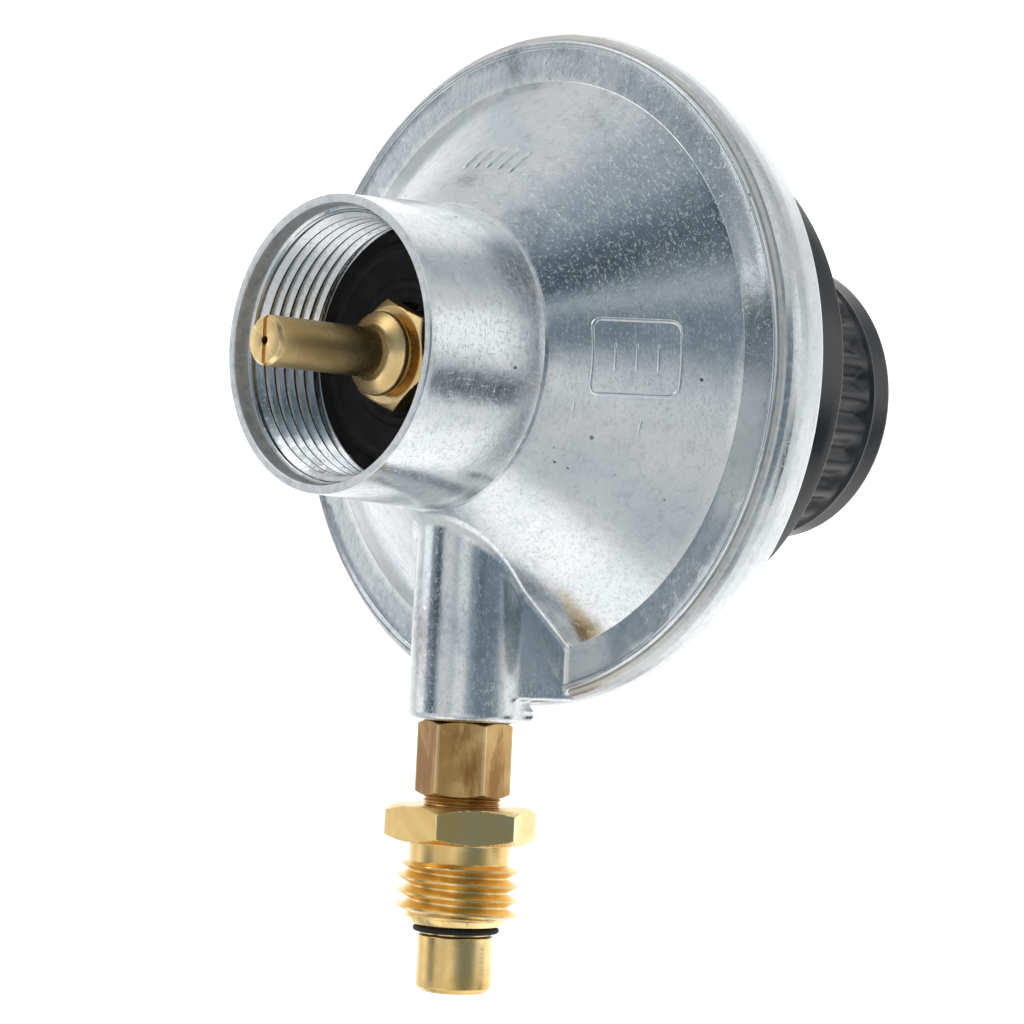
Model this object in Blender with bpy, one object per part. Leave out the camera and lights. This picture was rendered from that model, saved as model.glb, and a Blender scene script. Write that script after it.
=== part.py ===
"""Gas regulator with an adjusting knob, built in metres with +Z up.

The regulator's own axis runs along Y through the world origin, which is the centre of the inlet
collar's mouth. The mouth faces -Y, the knob is at the +Y end and the outlet fitting points to -Z.
"""

import math

import bmesh
import bpy
from mathutils import Matrix, Vector

MM = 0.001

# Inlet collar: takes the 1 inch - 20 thread of a small fuel cylinder
COLLAR_RIM_R = 13.98
COLLAR_BASE_R = 14.68
COLLAR_LENGTH = 14.1
COUNTERBORE_R = 13.05
COUNTERBORE_DEPTH = 1.8
THREAD_BORE_R = 12.30
GASKET_SEAT_Y = 12.3
GASKET_FACE_Y = 9.8

# Cast body
FLOOR_Y = 17.9
CONE_R = 28.15
CONE_Y = 26.4
LIP_R = 32.15
LIP_Y = 26.1
BODY_BACK_Y = 28.9
CHAMBER_R = 26.2
BOSS_R = 5.70
BOSS_BOTTOM_Z = -34.7
GUSSET_BOTTOM_Z = -32.4
GUSSET_HALF_FRONT = 5.5
GUSSET_HALF_BACK = 7.2
OUTLET_Y = 20.4

# Bonnet, rear cover and knob
RIM_R = 33.22
RIM_FRONT_Y = 26.95
RIM_BACK_Y = 33.45
RIM_BACK_R = 31.84
BONNET_TUBE_R = 22.4
BONNET_TUBE_INNER_R = 20.8
BONNET_BACK_Y = 42.6
COVER_R = 24.8
COVER_BACK_Y = 45.1
COVER_RISE = 0.76
KNOB_DROP = -0.30
KNOB_RIB_R = 13.95
KNOB_RIB_DEPTH = 0.85
KNOB_RIBS = 24
KNOB_RIM_R = 14.53
KNOB_FRONT_Y = 45.6
KNOB_BACK_Y = 65.5
KNOB_HOLLOW_R = 12.0
KNOB_HUB_R = 5.2
STOP_WEB_ANGLE = 30.0
SCREW_R = 3.5

# Inlet brassware
INLET_DROP = -0.35
PROBE_R = 2.35
PROBE_TIP_Y = -7.55
PROBE_SLOT = 0.6
NIPPLE_HEX = 9.4
NIPPLE_HEX_BACK_Y = 9.25
NIPPLE_SHANK_R = 3.9

# Diaphragm assembly
DIAPHRAGM_Y = 29.2
DIAPHRAGM_THICK = 0.7
PLATE_R = 15.0
STEM_R = 1.6
STEM_TIP_Y = 22.3

# Springs
MAIN_SPRING_R = 10.3
MAIN_SPRING_WIRE = 0.5
MAIN_SPRING_TURNS = 3.0
MAIN_SPRING_FROM = 31.35
MAIN_SPRING_TO = 37.1
POPPET_SPRING_R = 1.9
POPPET_SPRING_WIRE = 0.2
POPPET_SPRING_TURNS = 2.5

# Outlet fitting
OUTLET_SMALL_HEX = 8.0
OUTLET_SMALL_TURN = 11.0
OUTLET_BIG_HEX = 13.0
OUTLET_BIG_TURN = 28.0
OUTLET_THREADS = 4
OUTLET_THREAD_R = 5.85
OUTLET_ROOT_R = 4.90
OUTLET_PITCH = 1.40
OUTLET_TIP_R = 3.63
OUTLET_TIP_Z = -60.8

# Facets per turn
FINE = 60
MEDIUM = 40
SMALL = 24
TINY = 12

# Small twist that keeps a cutter's corners off the corners of the piece it cuts
CUTTER_TURN = 0.023

SHARP_ANGLE = math.radians(32)


def clear_scene():
    for obj in list(bpy.data.objects):
        bpy.data.objects.remove(obj, do_unlink=True)
    for mesh in list(bpy.data.meshes):
        bpy.data.meshes.remove(mesh)


def make_material(name, colour, roughness, metallic):
    material = bpy.data.materials.new(name)
    material.use_nodes = True
    shader = material.node_tree.nodes["Principled BSDF"]
    shader.inputs["Base Color"].default_value = (*colour, 1.0)
    shader.inputs["Roughness"].default_value = roughness
    shader.inputs["Metallic"].default_value = metallic
    material.diffuse_color = (*colour, 1.0)
    return material


def cast_zinc():
    return make_material("cast_zinc", (0.50, 0.54, 0.56), 0.36, 1.0)


def bonnet_zinc():
    return make_material("bonnet_zinc", (0.66, 0.69, 0.70), 0.32, 1.0)


def probe_brass():
    return make_material("probe_brass", (0.60, 0.44, 0.20), 0.30, 1.0)


def outlet_brass():
    return make_material("outlet_brass", (0.80, 0.60, 0.26), 0.24, 1.0)


def tarnished_brass():
    return make_material("tarnished_brass", (0.42, 0.27, 0.10), 0.38, 1.0)


def black_plastic():
    return make_material("black_plastic", (0.018, 0.019, 0.021), 0.38, 0.0)


def black_rubber():
    return make_material("black_rubber", (0.012, 0.012, 0.012), 0.70, 0.0)


def diaphragm_rubber():
    return make_material("diaphragm_rubber", (0.035, 0.030, 0.028), 0.62, 0.0)


def plated_steel():
    return make_material("plated_steel", (0.58, 0.57, 0.53), 0.34, 1.0)


def spring_steel():
    return make_material("spring_steel", (0.45, 0.45, 0.46), 0.30, 1.0)


def filter_bronze():
    return make_material("filter_bronze", (0.46, 0.31, 0.18), 0.60, 1.0)


def finish(obj):
    """Smooth shading with the real corners kept crisp."""
    mesh = obj.data
    mesh.polygons.foreach_set("use_smooth", [True] * len(mesh.polygons))
    mesh.set_sharp_from_angle(angle=SHARP_ANGLE)
    return obj


def object_from(name, build, material, at):
    mesh = bpy.data.meshes.new(name)
    bmesh.ops.recalc_face_normals(build, faces=build.faces[:])
    build.to_mesh(mesh)
    build.free()
    obj = bpy.data.objects.new(name, mesh)
    bpy.context.scene.collection.objects.link(obj)
    obj.location = Vector(at) * MM
    if material:
        mesh.materials.append(material)
    return finish(obj)


def place(radius, angle, station, axis):
    if axis == "Y":
        return (radius * math.cos(angle) * MM, station * MM, radius * math.sin(angle) * MM)
    return (radius * math.cos(angle) * MM, radius * math.sin(angle) * MM, station * MM)


def loft(name, profile, material, at=(0.0, 0.0, 0.0), axis="Y", steps=MEDIUM, turn=0.0):
    """Turn a section round an axis. Each point is (radius or radius-of-angle, station).

    A section that starts and ends on the axis makes a solid piece, and one that stays clear of
    the axis closes on itself as a ring. Stations are world values measured along the axis.
    """
    base = at[1] if axis == "Y" else at[2]
    build = bmesh.new()
    rings = []
    for radius, station in profile:
        here = station - base
        if not callable(radius) and radius == 0.0:
            rings.append([build.verts.new(place(0.0, 0.0, here, axis))])
            continue
        ring = []
        for step in range(steps):
            angle = 2 * math.pi * step / steps
            size = radius(angle) if callable(radius) else radius
            ring.append(build.verts.new(place(size, angle + turn, here, axis)))
        rings.append(ring)
    pairs = list(zip(rings, rings[1:]))
    if len(rings[0]) > 1:
        pairs.append((rings[-1], rings[0]))
    for first, second in pairs:
        for step in range(steps):
            after = (step + 1) % steps
            corners = [
                first[step % len(first)],
                first[after % len(first)],
                second[after % len(second)],
                second[step % len(second)],
            ]
            unique = list(dict.fromkeys(corners))
            if len(unique) > 2:
                build.faces.new(unique)
    return object_from(name, build, material, at)


def hexagon(across_flats, limit=1e9):
    """Radius of a hexagon by angle, cut off at the chamfer circle."""

    def radius(angle):
        offset = (angle + math.pi / 6) % (math.pi / 3) - math.pi / 6
        return min(0.5 * across_flats / math.cos(offset), limit)

    return radius


def ribbed(crest, depth, count):
    """Radius of a knob skirt with broad ribs and narrow valleys between them."""

    def radius(angle):
        wave = math.cos(count * angle)
        return crest - depth * max(0.0, -wave) ** 0.7

    return radius


def box(name, low, high, material=None):
    build = bmesh.new()
    bmesh.ops.create_cube(build, size=1.0)
    low, high = Vector(low) * MM, Vector(high) * MM
    for vert in build.verts:
        for k in range(3):
            vert.co[k] = low[k] if vert.co[k] < 0 else high[k]
    return object_from(name, build, material, (0.0, 0.0, 0.0))


def prism(name, outline, low, high):
    """An upright block with the given plan outline between two heights."""
    build = bmesh.new()
    bottom = [build.verts.new((x * MM, y * MM, low * MM)) for x, y in outline]
    top = [build.verts.new((x * MM, y * MM, high * MM)) for x, y in outline]
    build.faces.new(bottom[::-1])
    build.faces.new(top)
    for k in range(len(outline)):
        after = (k + 1) % len(outline)
        build.faces.new((bottom[k], bottom[after], top[after], top[k]))
    return object_from(name, build, None, (0.0, 0.0, 0.0))


def combine(obj, tools, operation):
    """Join tools to the piece, or cut them from it, and take them out of the scene."""
    for tool in tools:
        modifier = obj.modifiers.new(tool.name, "BOOLEAN")
        modifier.operation = operation
        modifier.solver = "EXACT"
        modifier.object = tool
    bpy.context.view_layer.update()
    graph = bpy.context.evaluated_depsgraph_get()
    mesh = bpy.data.meshes.new_from_object(obj.evaluated_get(graph))
    obj.modifiers.clear()
    obj.data = mesh
    for tool in tools:
        bpy.data.objects.remove(tool, do_unlink=True)
    return finish(obj)


def coil(name, material, at, radius, wire, turns, start, end, around, sides):
    """A compression spring wound round Y, with its wire ends closed."""
    build = bmesh.new()
    count = int(turns * around)
    rings = []
    for step in range(count + 1):
        share = step / count
        angle = 2 * math.pi * turns * share
        station = start + wire + (end - start - 2 * wire) * share
        centre = Vector((radius * math.cos(angle), station - at[1], radius * math.sin(angle)))
        out = Vector((math.cos(angle), 0.0, math.sin(angle)))
        along = Vector((0.0, 1.0, 0.0))
        ring = []
        for side in range(sides):
            spin = 2 * math.pi * side / sides
            point = centre + wire * (math.cos(spin) * out + math.sin(spin) * along)
            ring.append(build.verts.new(point * MM))
        rings.append(ring)
    for first, second in zip(rings, rings[1:]):
        for side in range(sides):
            after = (side + 1) % sides
            build.faces.new((first[side], first[after], second[after], second[side]))
    build.faces.new(rings[0])
    build.faces.new(rings[-1])
    return object_from(name, build, material, at)


def body_casting(material):
    """Collar, cone, flange, outlet boss and gusset, hollowed for the thread, gasket and chamber."""
    outer = [
        (0.0, 0.0),
        (COLLAR_RIM_R - 0.2, 0.0),
        (COLLAR_RIM_R, 0.25),
        (COLLAR_BASE_R - 0.03, COLLAR_LENGTH - 0.6),
        (COLLAR_BASE_R, COLLAR_LENGTH),
        (COLLAR_BASE_R + 0.45, COLLAR_LENGTH + 0.45),
        (CONE_R - 0.5, CONE_Y - 0.42),
        (CONE_R, CONE_Y - 0.06),
        (CONE_R + 0.4, CONE_Y),
        (LIP_R - 0.62, CONE_Y),
        (LIP_R - 0.5, LIP_Y),
        (LIP_R - 0.08, LIP_Y),
        (LIP_R, LIP_Y + 0.15),
        (LIP_R, BODY_BACK_Y),
        (0.0, BODY_BACK_Y),
    ]
    body = loft("body_casting", outer, material, steps=FINE)
    boss = loft(
        "boss",
        [
            (0.0, BOSS_BOTTOM_Z),
            (BOSS_R - 0.5, BOSS_BOTTOM_Z),
            (BOSS_R + 0.05, BOSS_BOTTOM_Z + 0.55),
            (BOSS_R - 0.08, -20.0),
            (BOSS_R - 1.0, -13.4),
            (0.0, -13.4),
        ],
        None,
        at=(0.0, OUTLET_Y, -20.0),
        axis="Z",
        steps=SMALL,
    )
    gusset = prism(
        "gusset",
        [
            (-GUSSET_HALF_FRONT, OUTLET_Y),
            (GUSSET_HALF_FRONT, OUTLET_Y),
            (GUSSET_HALF_BACK, CONE_Y + 0.25),
            (-GUSSET_HALF_BACK, CONE_Y + 0.25),
        ],
        GUSSET_BOTTOM_Z,
        -13.0,
    )
    gate = box("gate", (2.4, OUTLET_Y + 2.2, -34.6), (5.1, OUTLET_Y + 4.6, -31.0))
    gate_neck = box("gate_neck", (-2.0, OUTLET_Y + 3.0, -33.9), (3.4, OUTLET_Y + 5.2, -31.2))
    combine(body, [boss, gusset, gate_neck, gate], "UNION")
    collar_bore = loft(
        "collar_bore",
        [
            (0.0, -2.0),
            (COUNTERBORE_R + 0.15, -2.0),
            (COUNTERBORE_R + 0.15, 0.0),
            (COUNTERBORE_R, 0.15),
            (COUNTERBORE_R, COUNTERBORE_DEPTH),
            (THREAD_BORE_R, COUNTERBORE_DEPTH + 0.6),
            (THREAD_BORE_R, GASKET_SEAT_Y),
            (0.0, GASKET_SEAT_Y),
        ],
        None,
        steps=FINE,
    )
    chamber = loft(
        "chamber",
        [
            (0.0, FLOOR_Y),
            (15.4, FLOOR_Y),
            (CHAMBER_R, CONE_Y + 1.2),
            (CHAMBER_R, BODY_BACK_Y + 1.0),
            (0.0, BODY_BACK_Y + 1.0),
        ],
        None,
        steps=MEDIUM,
        turn=CUTTER_TURN,
    )
    nipple_bore = loft(
        "nipple_bore",
        [(0.0, 11.0), (NIPPLE_SHANK_R + 0.3, 11.0), (NIPPLE_SHANK_R + 0.3, 19.0), (0.0, 19.0)],
        None,
        at=(0.0, 14.0, INLET_DROP),
        steps=SMALL,
        turn=CUTTER_TURN,
    )
    outlet_bore = loft(
        "outlet_bore",
        [
            (0.0, BOSS_BOTTOM_Z - 1.0),
            (3.3, BOSS_BOTTOM_Z - 1.0),
            (3.3, -28.6),
            (2.2, -28.6),
            (2.2, -16.0),
            (0.0, -16.0),
        ],
        None,
        at=(0.0, OUTLET_Y, -20.0),
        axis="Z",
        steps=SMALL,
        turn=CUTTER_TURN,
    )
    return combine(body, [collar_bore, chamber, nipple_bore, outlet_bore], "DIFFERENCE")


def bonnet(material):
    """Rear housing whose rim wraps the body flange, with a spring tube and a screw bearing."""
    section = [
        (LIP_R + 0.3, RIM_FRONT_Y),
        (RIM_R - 0.35, RIM_FRONT_Y),
        (RIM_R - 0.08, RIM_FRONT_Y + 0.5),
        (RIM_R, RIM_FRONT_Y + 1.4),
        (RIM_R - 0.1, RIM_FRONT_Y + 2.6),
        (RIM_R - 0.42, RIM_FRONT_Y + 3.4),
        (RIM_BACK_R + 0.12, RIM_BACK_Y - 0.35),
        (RIM_BACK_R - 0.1, RIM_BACK_Y),
        (RIM_BACK_R - 0.7, RIM_BACK_Y + 0.1),
        (BONNET_TUBE_R, RIM_BACK_Y + 0.1),
        (BONNET_TUBE_R, BONNET_BACK_Y - 0.4),
        (BONNET_TUBE_R - 0.4, BONNET_BACK_Y),
        (SCREW_R + 0.6, BONNET_BACK_Y),
        (SCREW_R + 0.6, BONNET_BACK_Y - 1.6),
        (BONNET_TUBE_INNER_R, BONNET_BACK_Y - 1.6),
        (BONNET_TUBE_INNER_R, 33.6),
        (26.0, 31.2),
        (26.6, 30.2),
        (LIP_R + 0.3, 30.2),
    ]
    shell = loft("bonnet", section, material, steps=FINE)
    guides = []
    for side in (-1, 1):
        for edge in (-1, 1):
            low = (min(side * 17.5, side * 21.4), edge * 3.6 - 0.7)
            high = (max(side * 17.5, side * 21.4), edge * 3.6 + 0.7)
            guides.append(
                box(
                    "guide",
                    (low[0], 34.2, low[1] + KNOB_DROP),
                    (high[0], 41.4, high[1] + KNOB_DROP),
                )
            )
    return combine(shell, guides, "UNION")


def rear_cover(material):
    """Black cup over the spring tube, sitting slightly high on it."""
    section = [
        (COVER_R + 0.35, 33.85),
        (COVER_R + 0.1, 41.0),
        (COVER_R, COVER_BACK_Y - 0.25),
        (COVER_R - 0.25, COVER_BACK_Y),
        (5.0, COVER_BACK_Y),
        (5.0, COVER_BACK_Y - 1.2),
        (COVER_R - 1.3, COVER_BACK_Y - 1.2),
        (COVER_R - 1.1, 33.85),
    ]
    return loft("rear_cover", section, material, at=(0.0, 40.0, COVER_RISE), steps=MEDIUM)


def stop_peg(material):
    """Steel peg that a web inside the knob meets at each end of its turn."""
    section = [(0.0, 45.35), (0.9, 45.35), (0.9, 49.6), (0.6, 50.0), (0.0, 50.0)]
    return loft("stop_peg", section, material, at=(0.0, 47.0, KNOB_DROP - 8.6), steps=TINY)


def knob(material):
    """Ribbed skirt, rolled rim and closed end, with a hub for the screw and one stop web."""
    ribs = ribbed(KNOB_RIB_R, KNOB_RIB_DEPTH, KNOB_RIBS)
    outside = [
        (0.0, KNOB_FRONT_Y),
        (KNOB_RIB_R - 1.0, KNOB_FRONT_Y),
        (ribbed(KNOB_RIB_R - 0.1, KNOB_RIB_DEPTH * 0.9, KNOB_RIBS), KNOB_FRONT_Y + 0.4),
        (ribs, 60.4),
        (KNOB_RIM_R - 0.35, 62.0),
        (KNOB_RIM_R, 62.9),
        (KNOB_RIM_R, 64.3),
        (KNOB_RIM_R - 0.4, 65.1),
        (KNOB_RIM_R - 1.2, KNOB_BACK_Y),
        (0.0, KNOB_BACK_Y),
    ]
    hollow = [
        (KNOB_HUB_R, KNOB_FRONT_Y - 1.0),
        (KNOB_HOLLOW_R, KNOB_FRONT_Y - 1.0),
        (KNOB_HOLLOW_R, 61.4),
        (KNOB_HUB_R, 61.4),
    ]
    bore = [
        (0.0, KNOB_FRONT_Y - 1.0),
        (3.3, KNOB_FRONT_Y - 1.0),
        (3.3, 58.5),
        (1.8, 58.5),
        (1.8, 60.5),
        (3.6, 60.5),
        (3.6, 63.7),
        (10.5, 63.7),
        (10.5, KNOB_BACK_Y + 1.0),
        (0.0, KNOB_BACK_Y + 1.0),
    ]
    centre = (0.0, 55.0, KNOB_DROP)
    shell = loft("knob", outside, material, at=centre, steps=KNOB_RIBS * 4)
    cutters = [
        loft("hollow", hollow, None, at=centre, steps=MEDIUM, turn=CUTTER_TURN),
        loft("bore", bore, None, at=centre, steps=SMALL, turn=CUTTER_TURN),
    ]
    combine(shell, cutters, "DIFFERENCE")
    web = box(
        "stop_web",
        (-1.0, KNOB_FRONT_Y + 0.4, -KNOB_HOLLOW_R - 0.5),
        (1.0, 61.8, -KNOB_HUB_R + 0.4),
    )
    turned = Matrix.Rotation(math.radians(STOP_WEB_ANGLE), 4, "Y")
    web.data.transform(Matrix.Translation((0.0, 0.0, KNOB_DROP * MM)) @ turned)
    return combine(shell, [web], "UNION")


def knob_cap(material):
    section = [(0.0, 64.0), (10.0, 64.0), (10.2, 64.2), (10.2, 65.1), (9.8, 65.45), (0.0, 65.5)]
    return loft("knob_cap", section, material, at=(0.0, 64.5, KNOB_DROP), steps=MEDIUM)


def adjusting_screw(material):
    """Steel screw with a thrust collar inside the bonnet and a blind hole for its fastening."""
    section = [
        (0.0, 34.0),
        (SCREW_R - 0.6, 34.0),
        (SCREW_R, 34.6),
        (SCREW_R, 39.8),
        (5.6, 39.8),
        (5.6, 40.7),
        (SCREW_R, 40.7),
        (SCREW_R, 44.8),
        (SCREW_R - 0.5, 45.3),
        (SCREW_R - 0.5, 58.2),
        (1.7, 58.2),
        (1.7, 50.0),
        (0.0, 49.4),
    ]
    return loft("adjusting_screw", section, material, at=(0.0, 46.0, KNOB_DROP), steps=SMALL)


def retaining_screw(material):
    """Cross-slotted pan head that holds the knob on the screw."""
    section = [
        (0.0, 52.0),
        (1.4, 52.0),
        (1.4, 60.8),
        (3.1, 60.8),
        (3.1, 62.0),
        (2.2, 62.8),
        (0.0, 63.0),
    ]
    screw = loft("retaining_screw", section, material, at=(0.0, 60.0, KNOB_DROP), steps=TINY)
    slot_a = box("slot_a", (-1.5, 62.1, KNOB_DROP - 0.3), (1.5, 63.5, KNOB_DROP + 0.3))
    slot_b = box("slot_b", (-0.3, 62.1, KNOB_DROP - 1.5), (0.3, 63.5, KNOB_DROP + 1.5))
    return combine(screw, [slot_a, slot_b], "DIFFERENCE")


def spring_follower(material):
    """Nut on the screw, kept from turning by two ears between the bonnet's guides."""
    section = [
        (SCREW_R + 0.3, 37.4),
        (8.6, 37.4),
        (8.6, 36.6),
        (9.4, 36.6),
        (9.4, 37.4),
        (12.6, 37.4),
        (12.6, 38.8),
        (7.0, 38.8),
        (7.0, 39.5),
        (SCREW_R + 0.3, 39.5),
    ]
    nut = loft("spring_follower", section, material, at=(0.0, 38.0, KNOB_DROP), steps=SMALL)
    ears = []
    for side in (-1, 1):
        low, high = sorted((side * 11.5, side * 20.2))
        ears.append(box("ear", (low, 37.5, KNOB_DROP - 2.4), (high, 38.7, KNOB_DROP + 2.4)))
    return combine(nut, ears, "UNION")


def stem_seal(material):
    """Rubber ring round the screw between the bonnet and the cover."""
    section = []
    for k in range(10):
        spin = 2 * math.pi * k / 10
        section.append((4.35 + 0.35 * math.cos(spin), 43.2 + 0.35 * math.sin(spin)))
    return loft("stem_seal", section, material, at=(0.0, 43.2, KNOB_DROP), steps=TINY)


def diaphragm(material):
    """Rubber sheet with a clamped edge and one rolled convolution."""
    front = []
    back = []
    inner_r, outer_r = PLATE_R + 0.8, 26.3
    for k in range(8):
        share = k / 7
        rise = 1.5 * math.sin(math.pi * share) ** 0.8
        front.append((inner_r + (outer_r - inner_r) * share, DIAPHRAGM_Y + rise))
        back.append((inner_r + (outer_r - inner_r) * share, DIAPHRAGM_Y + rise + DIAPHRAGM_THICK))
    hole = STEM_R + 0.3
    section = [(hole, DIAPHRAGM_Y)] + front + [(31.8, DIAPHRAGM_Y)]
    section += [(31.8, DIAPHRAGM_Y + DIAPHRAGM_THICK)] + back[::-1]
    section += [(hole, DIAPHRAGM_Y + DIAPHRAGM_THICK)]
    return loft("diaphragm", section, material, steps=MEDIUM)


def lower_plate(material):
    section = [
        (STEM_R + 0.3, 28.2),
        (PLATE_R - 0.6, 28.2),
        (PLATE_R - 0.2, 28.0),
        (PLATE_R, 28.3),
        (PLATE_R - 0.3, 28.9),
        (STEM_R + 0.3, 28.9),
    ]
    return loft("lower_plate", section, material, at=(0.0, 28.5, 0.0), steps=MEDIUM)


def upper_plate(material):
    section = [
        (STEM_R + 0.3, 30.2),
        (PLATE_R, 30.2),
        (PLATE_R, 31.9),
        (PLATE_R - 0.8, 31.9),
        (PLATE_R - 0.8, 31.0),
        (STEM_R + 0.3, 31.0),
    ]
    return loft("upper_plate", section, material, at=(0.0, 31.0, 0.0), steps=MEDIUM)


def diaphragm_stem(material):
    section = [
        (0.0, STEM_TIP_Y),
        (STEM_R - 0.4, STEM_TIP_Y),
        (STEM_R, STEM_TIP_Y + 0.4),
        (STEM_R, 26.9),
        (3.6, 26.9),
        (3.6, 27.7),
        (STEM_R, 27.7),
        (STEM_R, 32.8),
        (STEM_R - 0.4, 33.2),
        (0.0, 33.2),
    ]
    return loft("diaphragm_stem", section, material, at=(0.0, 28.0, 0.0), steps=SMALL)


def stem_nut(material):
    nut = hexagon(5.6)
    corner = hexagon(5.6, 2.9)
    section = [(STEM_R + 0.3, 31.3), (nut, 31.3), (nut, 32.2), (corner, 32.6), (STEM_R + 0.3, 32.6)]
    return loft("stem_nut", section, material, at=(0.0, 32.0, 0.0), steps=SMALL)


def main_spring(material):
    return coil(
        "main_spring",
        material,
        (0.0, 34.0, KNOB_DROP),
        MAIN_SPRING_R,
        MAIN_SPRING_WIRE,
        MAIN_SPRING_TURNS,
        MAIN_SPRING_FROM,
        MAIN_SPRING_TO,
        20,
        8,
    )


def inlet_gasket(material):
    """Rubber washer at the bottom of the collar, with two low sealing rings on its face."""
    face, ridge = GASKET_FACE_Y, GASKET_FACE_Y - 0.25
    section = [(4.8, face)]
    for inner in (5.9, 9.6):
        section += [(inner, face), (inner + 0.3, ridge), (inner + 0.9, ridge), (inner + 1.2, face)]
    section += [(12.0, face), (12.0, 12.0), (4.8, 12.0)]
    return loft("inlet_gasket", section, material, at=(0.0, 11.0, 0.0), steps=MEDIUM)


def inlet_nipple(material):
    """Brass screwed nipple: flange ring, hexagon, shank and the valve chamber inside it."""
    flats = hexagon(NIPPLE_HEX)
    chamfer = hexagon(NIPPLE_HEX, NIPPLE_HEX / 2 + 0.15)
    section = [
        (2.65, 5.5),
        (2.9, 5.9),
        (3.45, 6.2),
        (3.95, 6.5),
        (3.95, 7.05),
        (3.35, 7.15),
        (3.35, 7.7),
        (chamfer, 7.7),
        (flats, 8.05),
        (flats, NIPPLE_HEX_BACK_Y),
        (NIPPLE_SHANK_R, NIPPLE_HEX_BACK_Y),
        (NIPPLE_SHANK_R, 17.4),
        (2.9, 17.4),
        (2.9, 11.0),
        (1.2, 11.0),
        (1.2, 9.6),
        (2.65, 9.6),
    ]
    return loft(
        "inlet_nipple", section, material, at=(0.0, 9.0, INLET_DROP), steps=SMALL, turn=math.radians(8)
    )


def probe(material):
    """Slotted brass tube that opens the cylinder's valve."""
    section = [
        (0.45, PROBE_TIP_Y),
        (PROBE_R - 0.45, PROBE_TIP_Y),
        (PROBE_R, PROBE_TIP_Y + 0.4),
        (PROBE_R, 9.3),
        (0.45, 9.3),
    ]
    tube = loft("probe", section, material, at=(0.0, 0.0, INLET_DROP), steps=SMALL)
    slot = box(
        "slot",
        (-PROBE_SLOT / 2, PROBE_TIP_Y - 1.0, INLET_DROP - 4.0),
        (PROBE_SLOT / 2, PROBE_TIP_Y + 1.2, INLET_DROP + 4.0),
    )
    return combine(tube, [slot], "DIFFERENCE")


def inlet_filter(material):
    section = [(0.0, 11.3), (2.6, 11.3), (2.6, 12.1), (0.0, 12.1)]
    return loft("inlet_filter", section, material, at=(0.0, 11.7, INLET_DROP), steps=TINY)


def poppet_spring(material):
    return coil(
        "poppet_spring",
        material,
        (0.0, 13.0, INLET_DROP),
        POPPET_SPRING_R,
        POPPET_SPRING_WIRE,
        POPPET_SPRING_TURNS,
        12.3,
        14.2,
        14,
        6,
    )


def valve_poppet(material):
    """Brass poppet with a long pin that the diaphragm stem pushes."""
    section = [
        (0.0, 13.7),
        (1.2, 13.7),
        (1.2, 14.45),
        (2.3, 14.45),
        (2.3, 15.3),
        (0.6, 15.3),
        (0.6, 21.8),
        (0.4, 22.0),
        (0.0, 22.0),
    ]
    return loft("valve_poppet", section, material, at=(0.0, 15.0, INLET_DROP), steps=TINY)


def poppet_seal(material):
    section = [(0.9, 15.55), (2.2, 15.55), (2.2, 16.1), (0.9, 16.1)]
    return loft("poppet_seal", section, material, at=(0.0, 15.8, INLET_DROP), steps=TINY)


def valve_seat(material):
    section = [(1.0, 16.35), (1.5, 16.35), (1.7, 16.6), (2.6, 16.6), (2.6, 17.3), (1.0, 17.3)]
    return loft("valve_seat", section, material, at=(0.0, 16.9, INLET_DROP), steps=TINY)


def outlet_nipple(material):
    """Small brass hexagon nipple between the casting and the outlet fitting."""
    flats = hexagon(OUTLET_SMALL_HEX)
    chamfer = hexagon(OUTLET_SMALL_HEX, OUTLET_SMALL_HEX / 2 + 0.12)
    section = [
        (1.6, -29.0),
        (2.7, -29.0),
        (3.0, -29.3),
        (3.0, -34.75),
        (chamfer, -34.75),
        (flats, -35.05),
        (flats, -41.7),
        (chamfer, -42.0),
        (3.6, -42.0),
        (3.75, -42.15),
        (3.75, -42.9),
        (3.0, -42.9),
        (3.0, -48.0),
        (1.6, -48.0),
    ]
    return loft(
        "outlet_nipple",
        section,
        material,
        at=(0.0, OUTLET_Y, -38.0),
        axis="Z",
        steps=SMALL,
        turn=math.radians(OUTLET_SMALL_TURN),
    )


def outlet_fitting(material):
    """Brass hexagon fitting with an external thread, a ring groove and a plain spigot."""
    chamfer = hexagon(OUTLET_BIG_HEX, OUTLET_BIG_HEX / 2 - 0.1)
    flats = hexagon(OUTLET_BIG_HEX, OUTLET_BIG_HEX / 2 + 0.95)
    section = [
        (3.3, -42.95),
        (chamfer, -42.95),
        (flats, -43.55),
        (flats, -45.85),
        (chamfer, -46.4),
        (4.85, -46.4),
        (4.85, -48.3),
    ]
    crest = -48.9
    for _ in range(OUTLET_THREADS):
        section.append((OUTLET_THREAD_R, crest + 0.12))
        section.append((OUTLET_THREAD_R, crest - 0.12))
        section.append((OUTLET_ROOT_R, crest - OUTLET_PITCH / 2))
        crest -= OUTLET_PITCH
    section += [
        (4.2, -54.35),
        (3.1, -54.35),
        (3.1, -55.35),
        (OUTLET_TIP_R, -55.35),
        (OUTLET_TIP_R, OUTLET_TIP_Z + 0.5),
        (OUTLET_TIP_R - 0.5, OUTLET_TIP_Z),
        (2.2, OUTLET_TIP_Z),
        (2.2, -56.0),
        (1.6, -56.0),
        (1.6, -48.4),
        (3.3, -48.4),
    ]
    return loft(
        "outlet_fitting",
        section,
        material,
        at=(0.0, OUTLET_Y, -50.0),
        axis="Z",
        steps=SMALL,
        turn=math.radians(OUTLET_BIG_TURN),
    )


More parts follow.
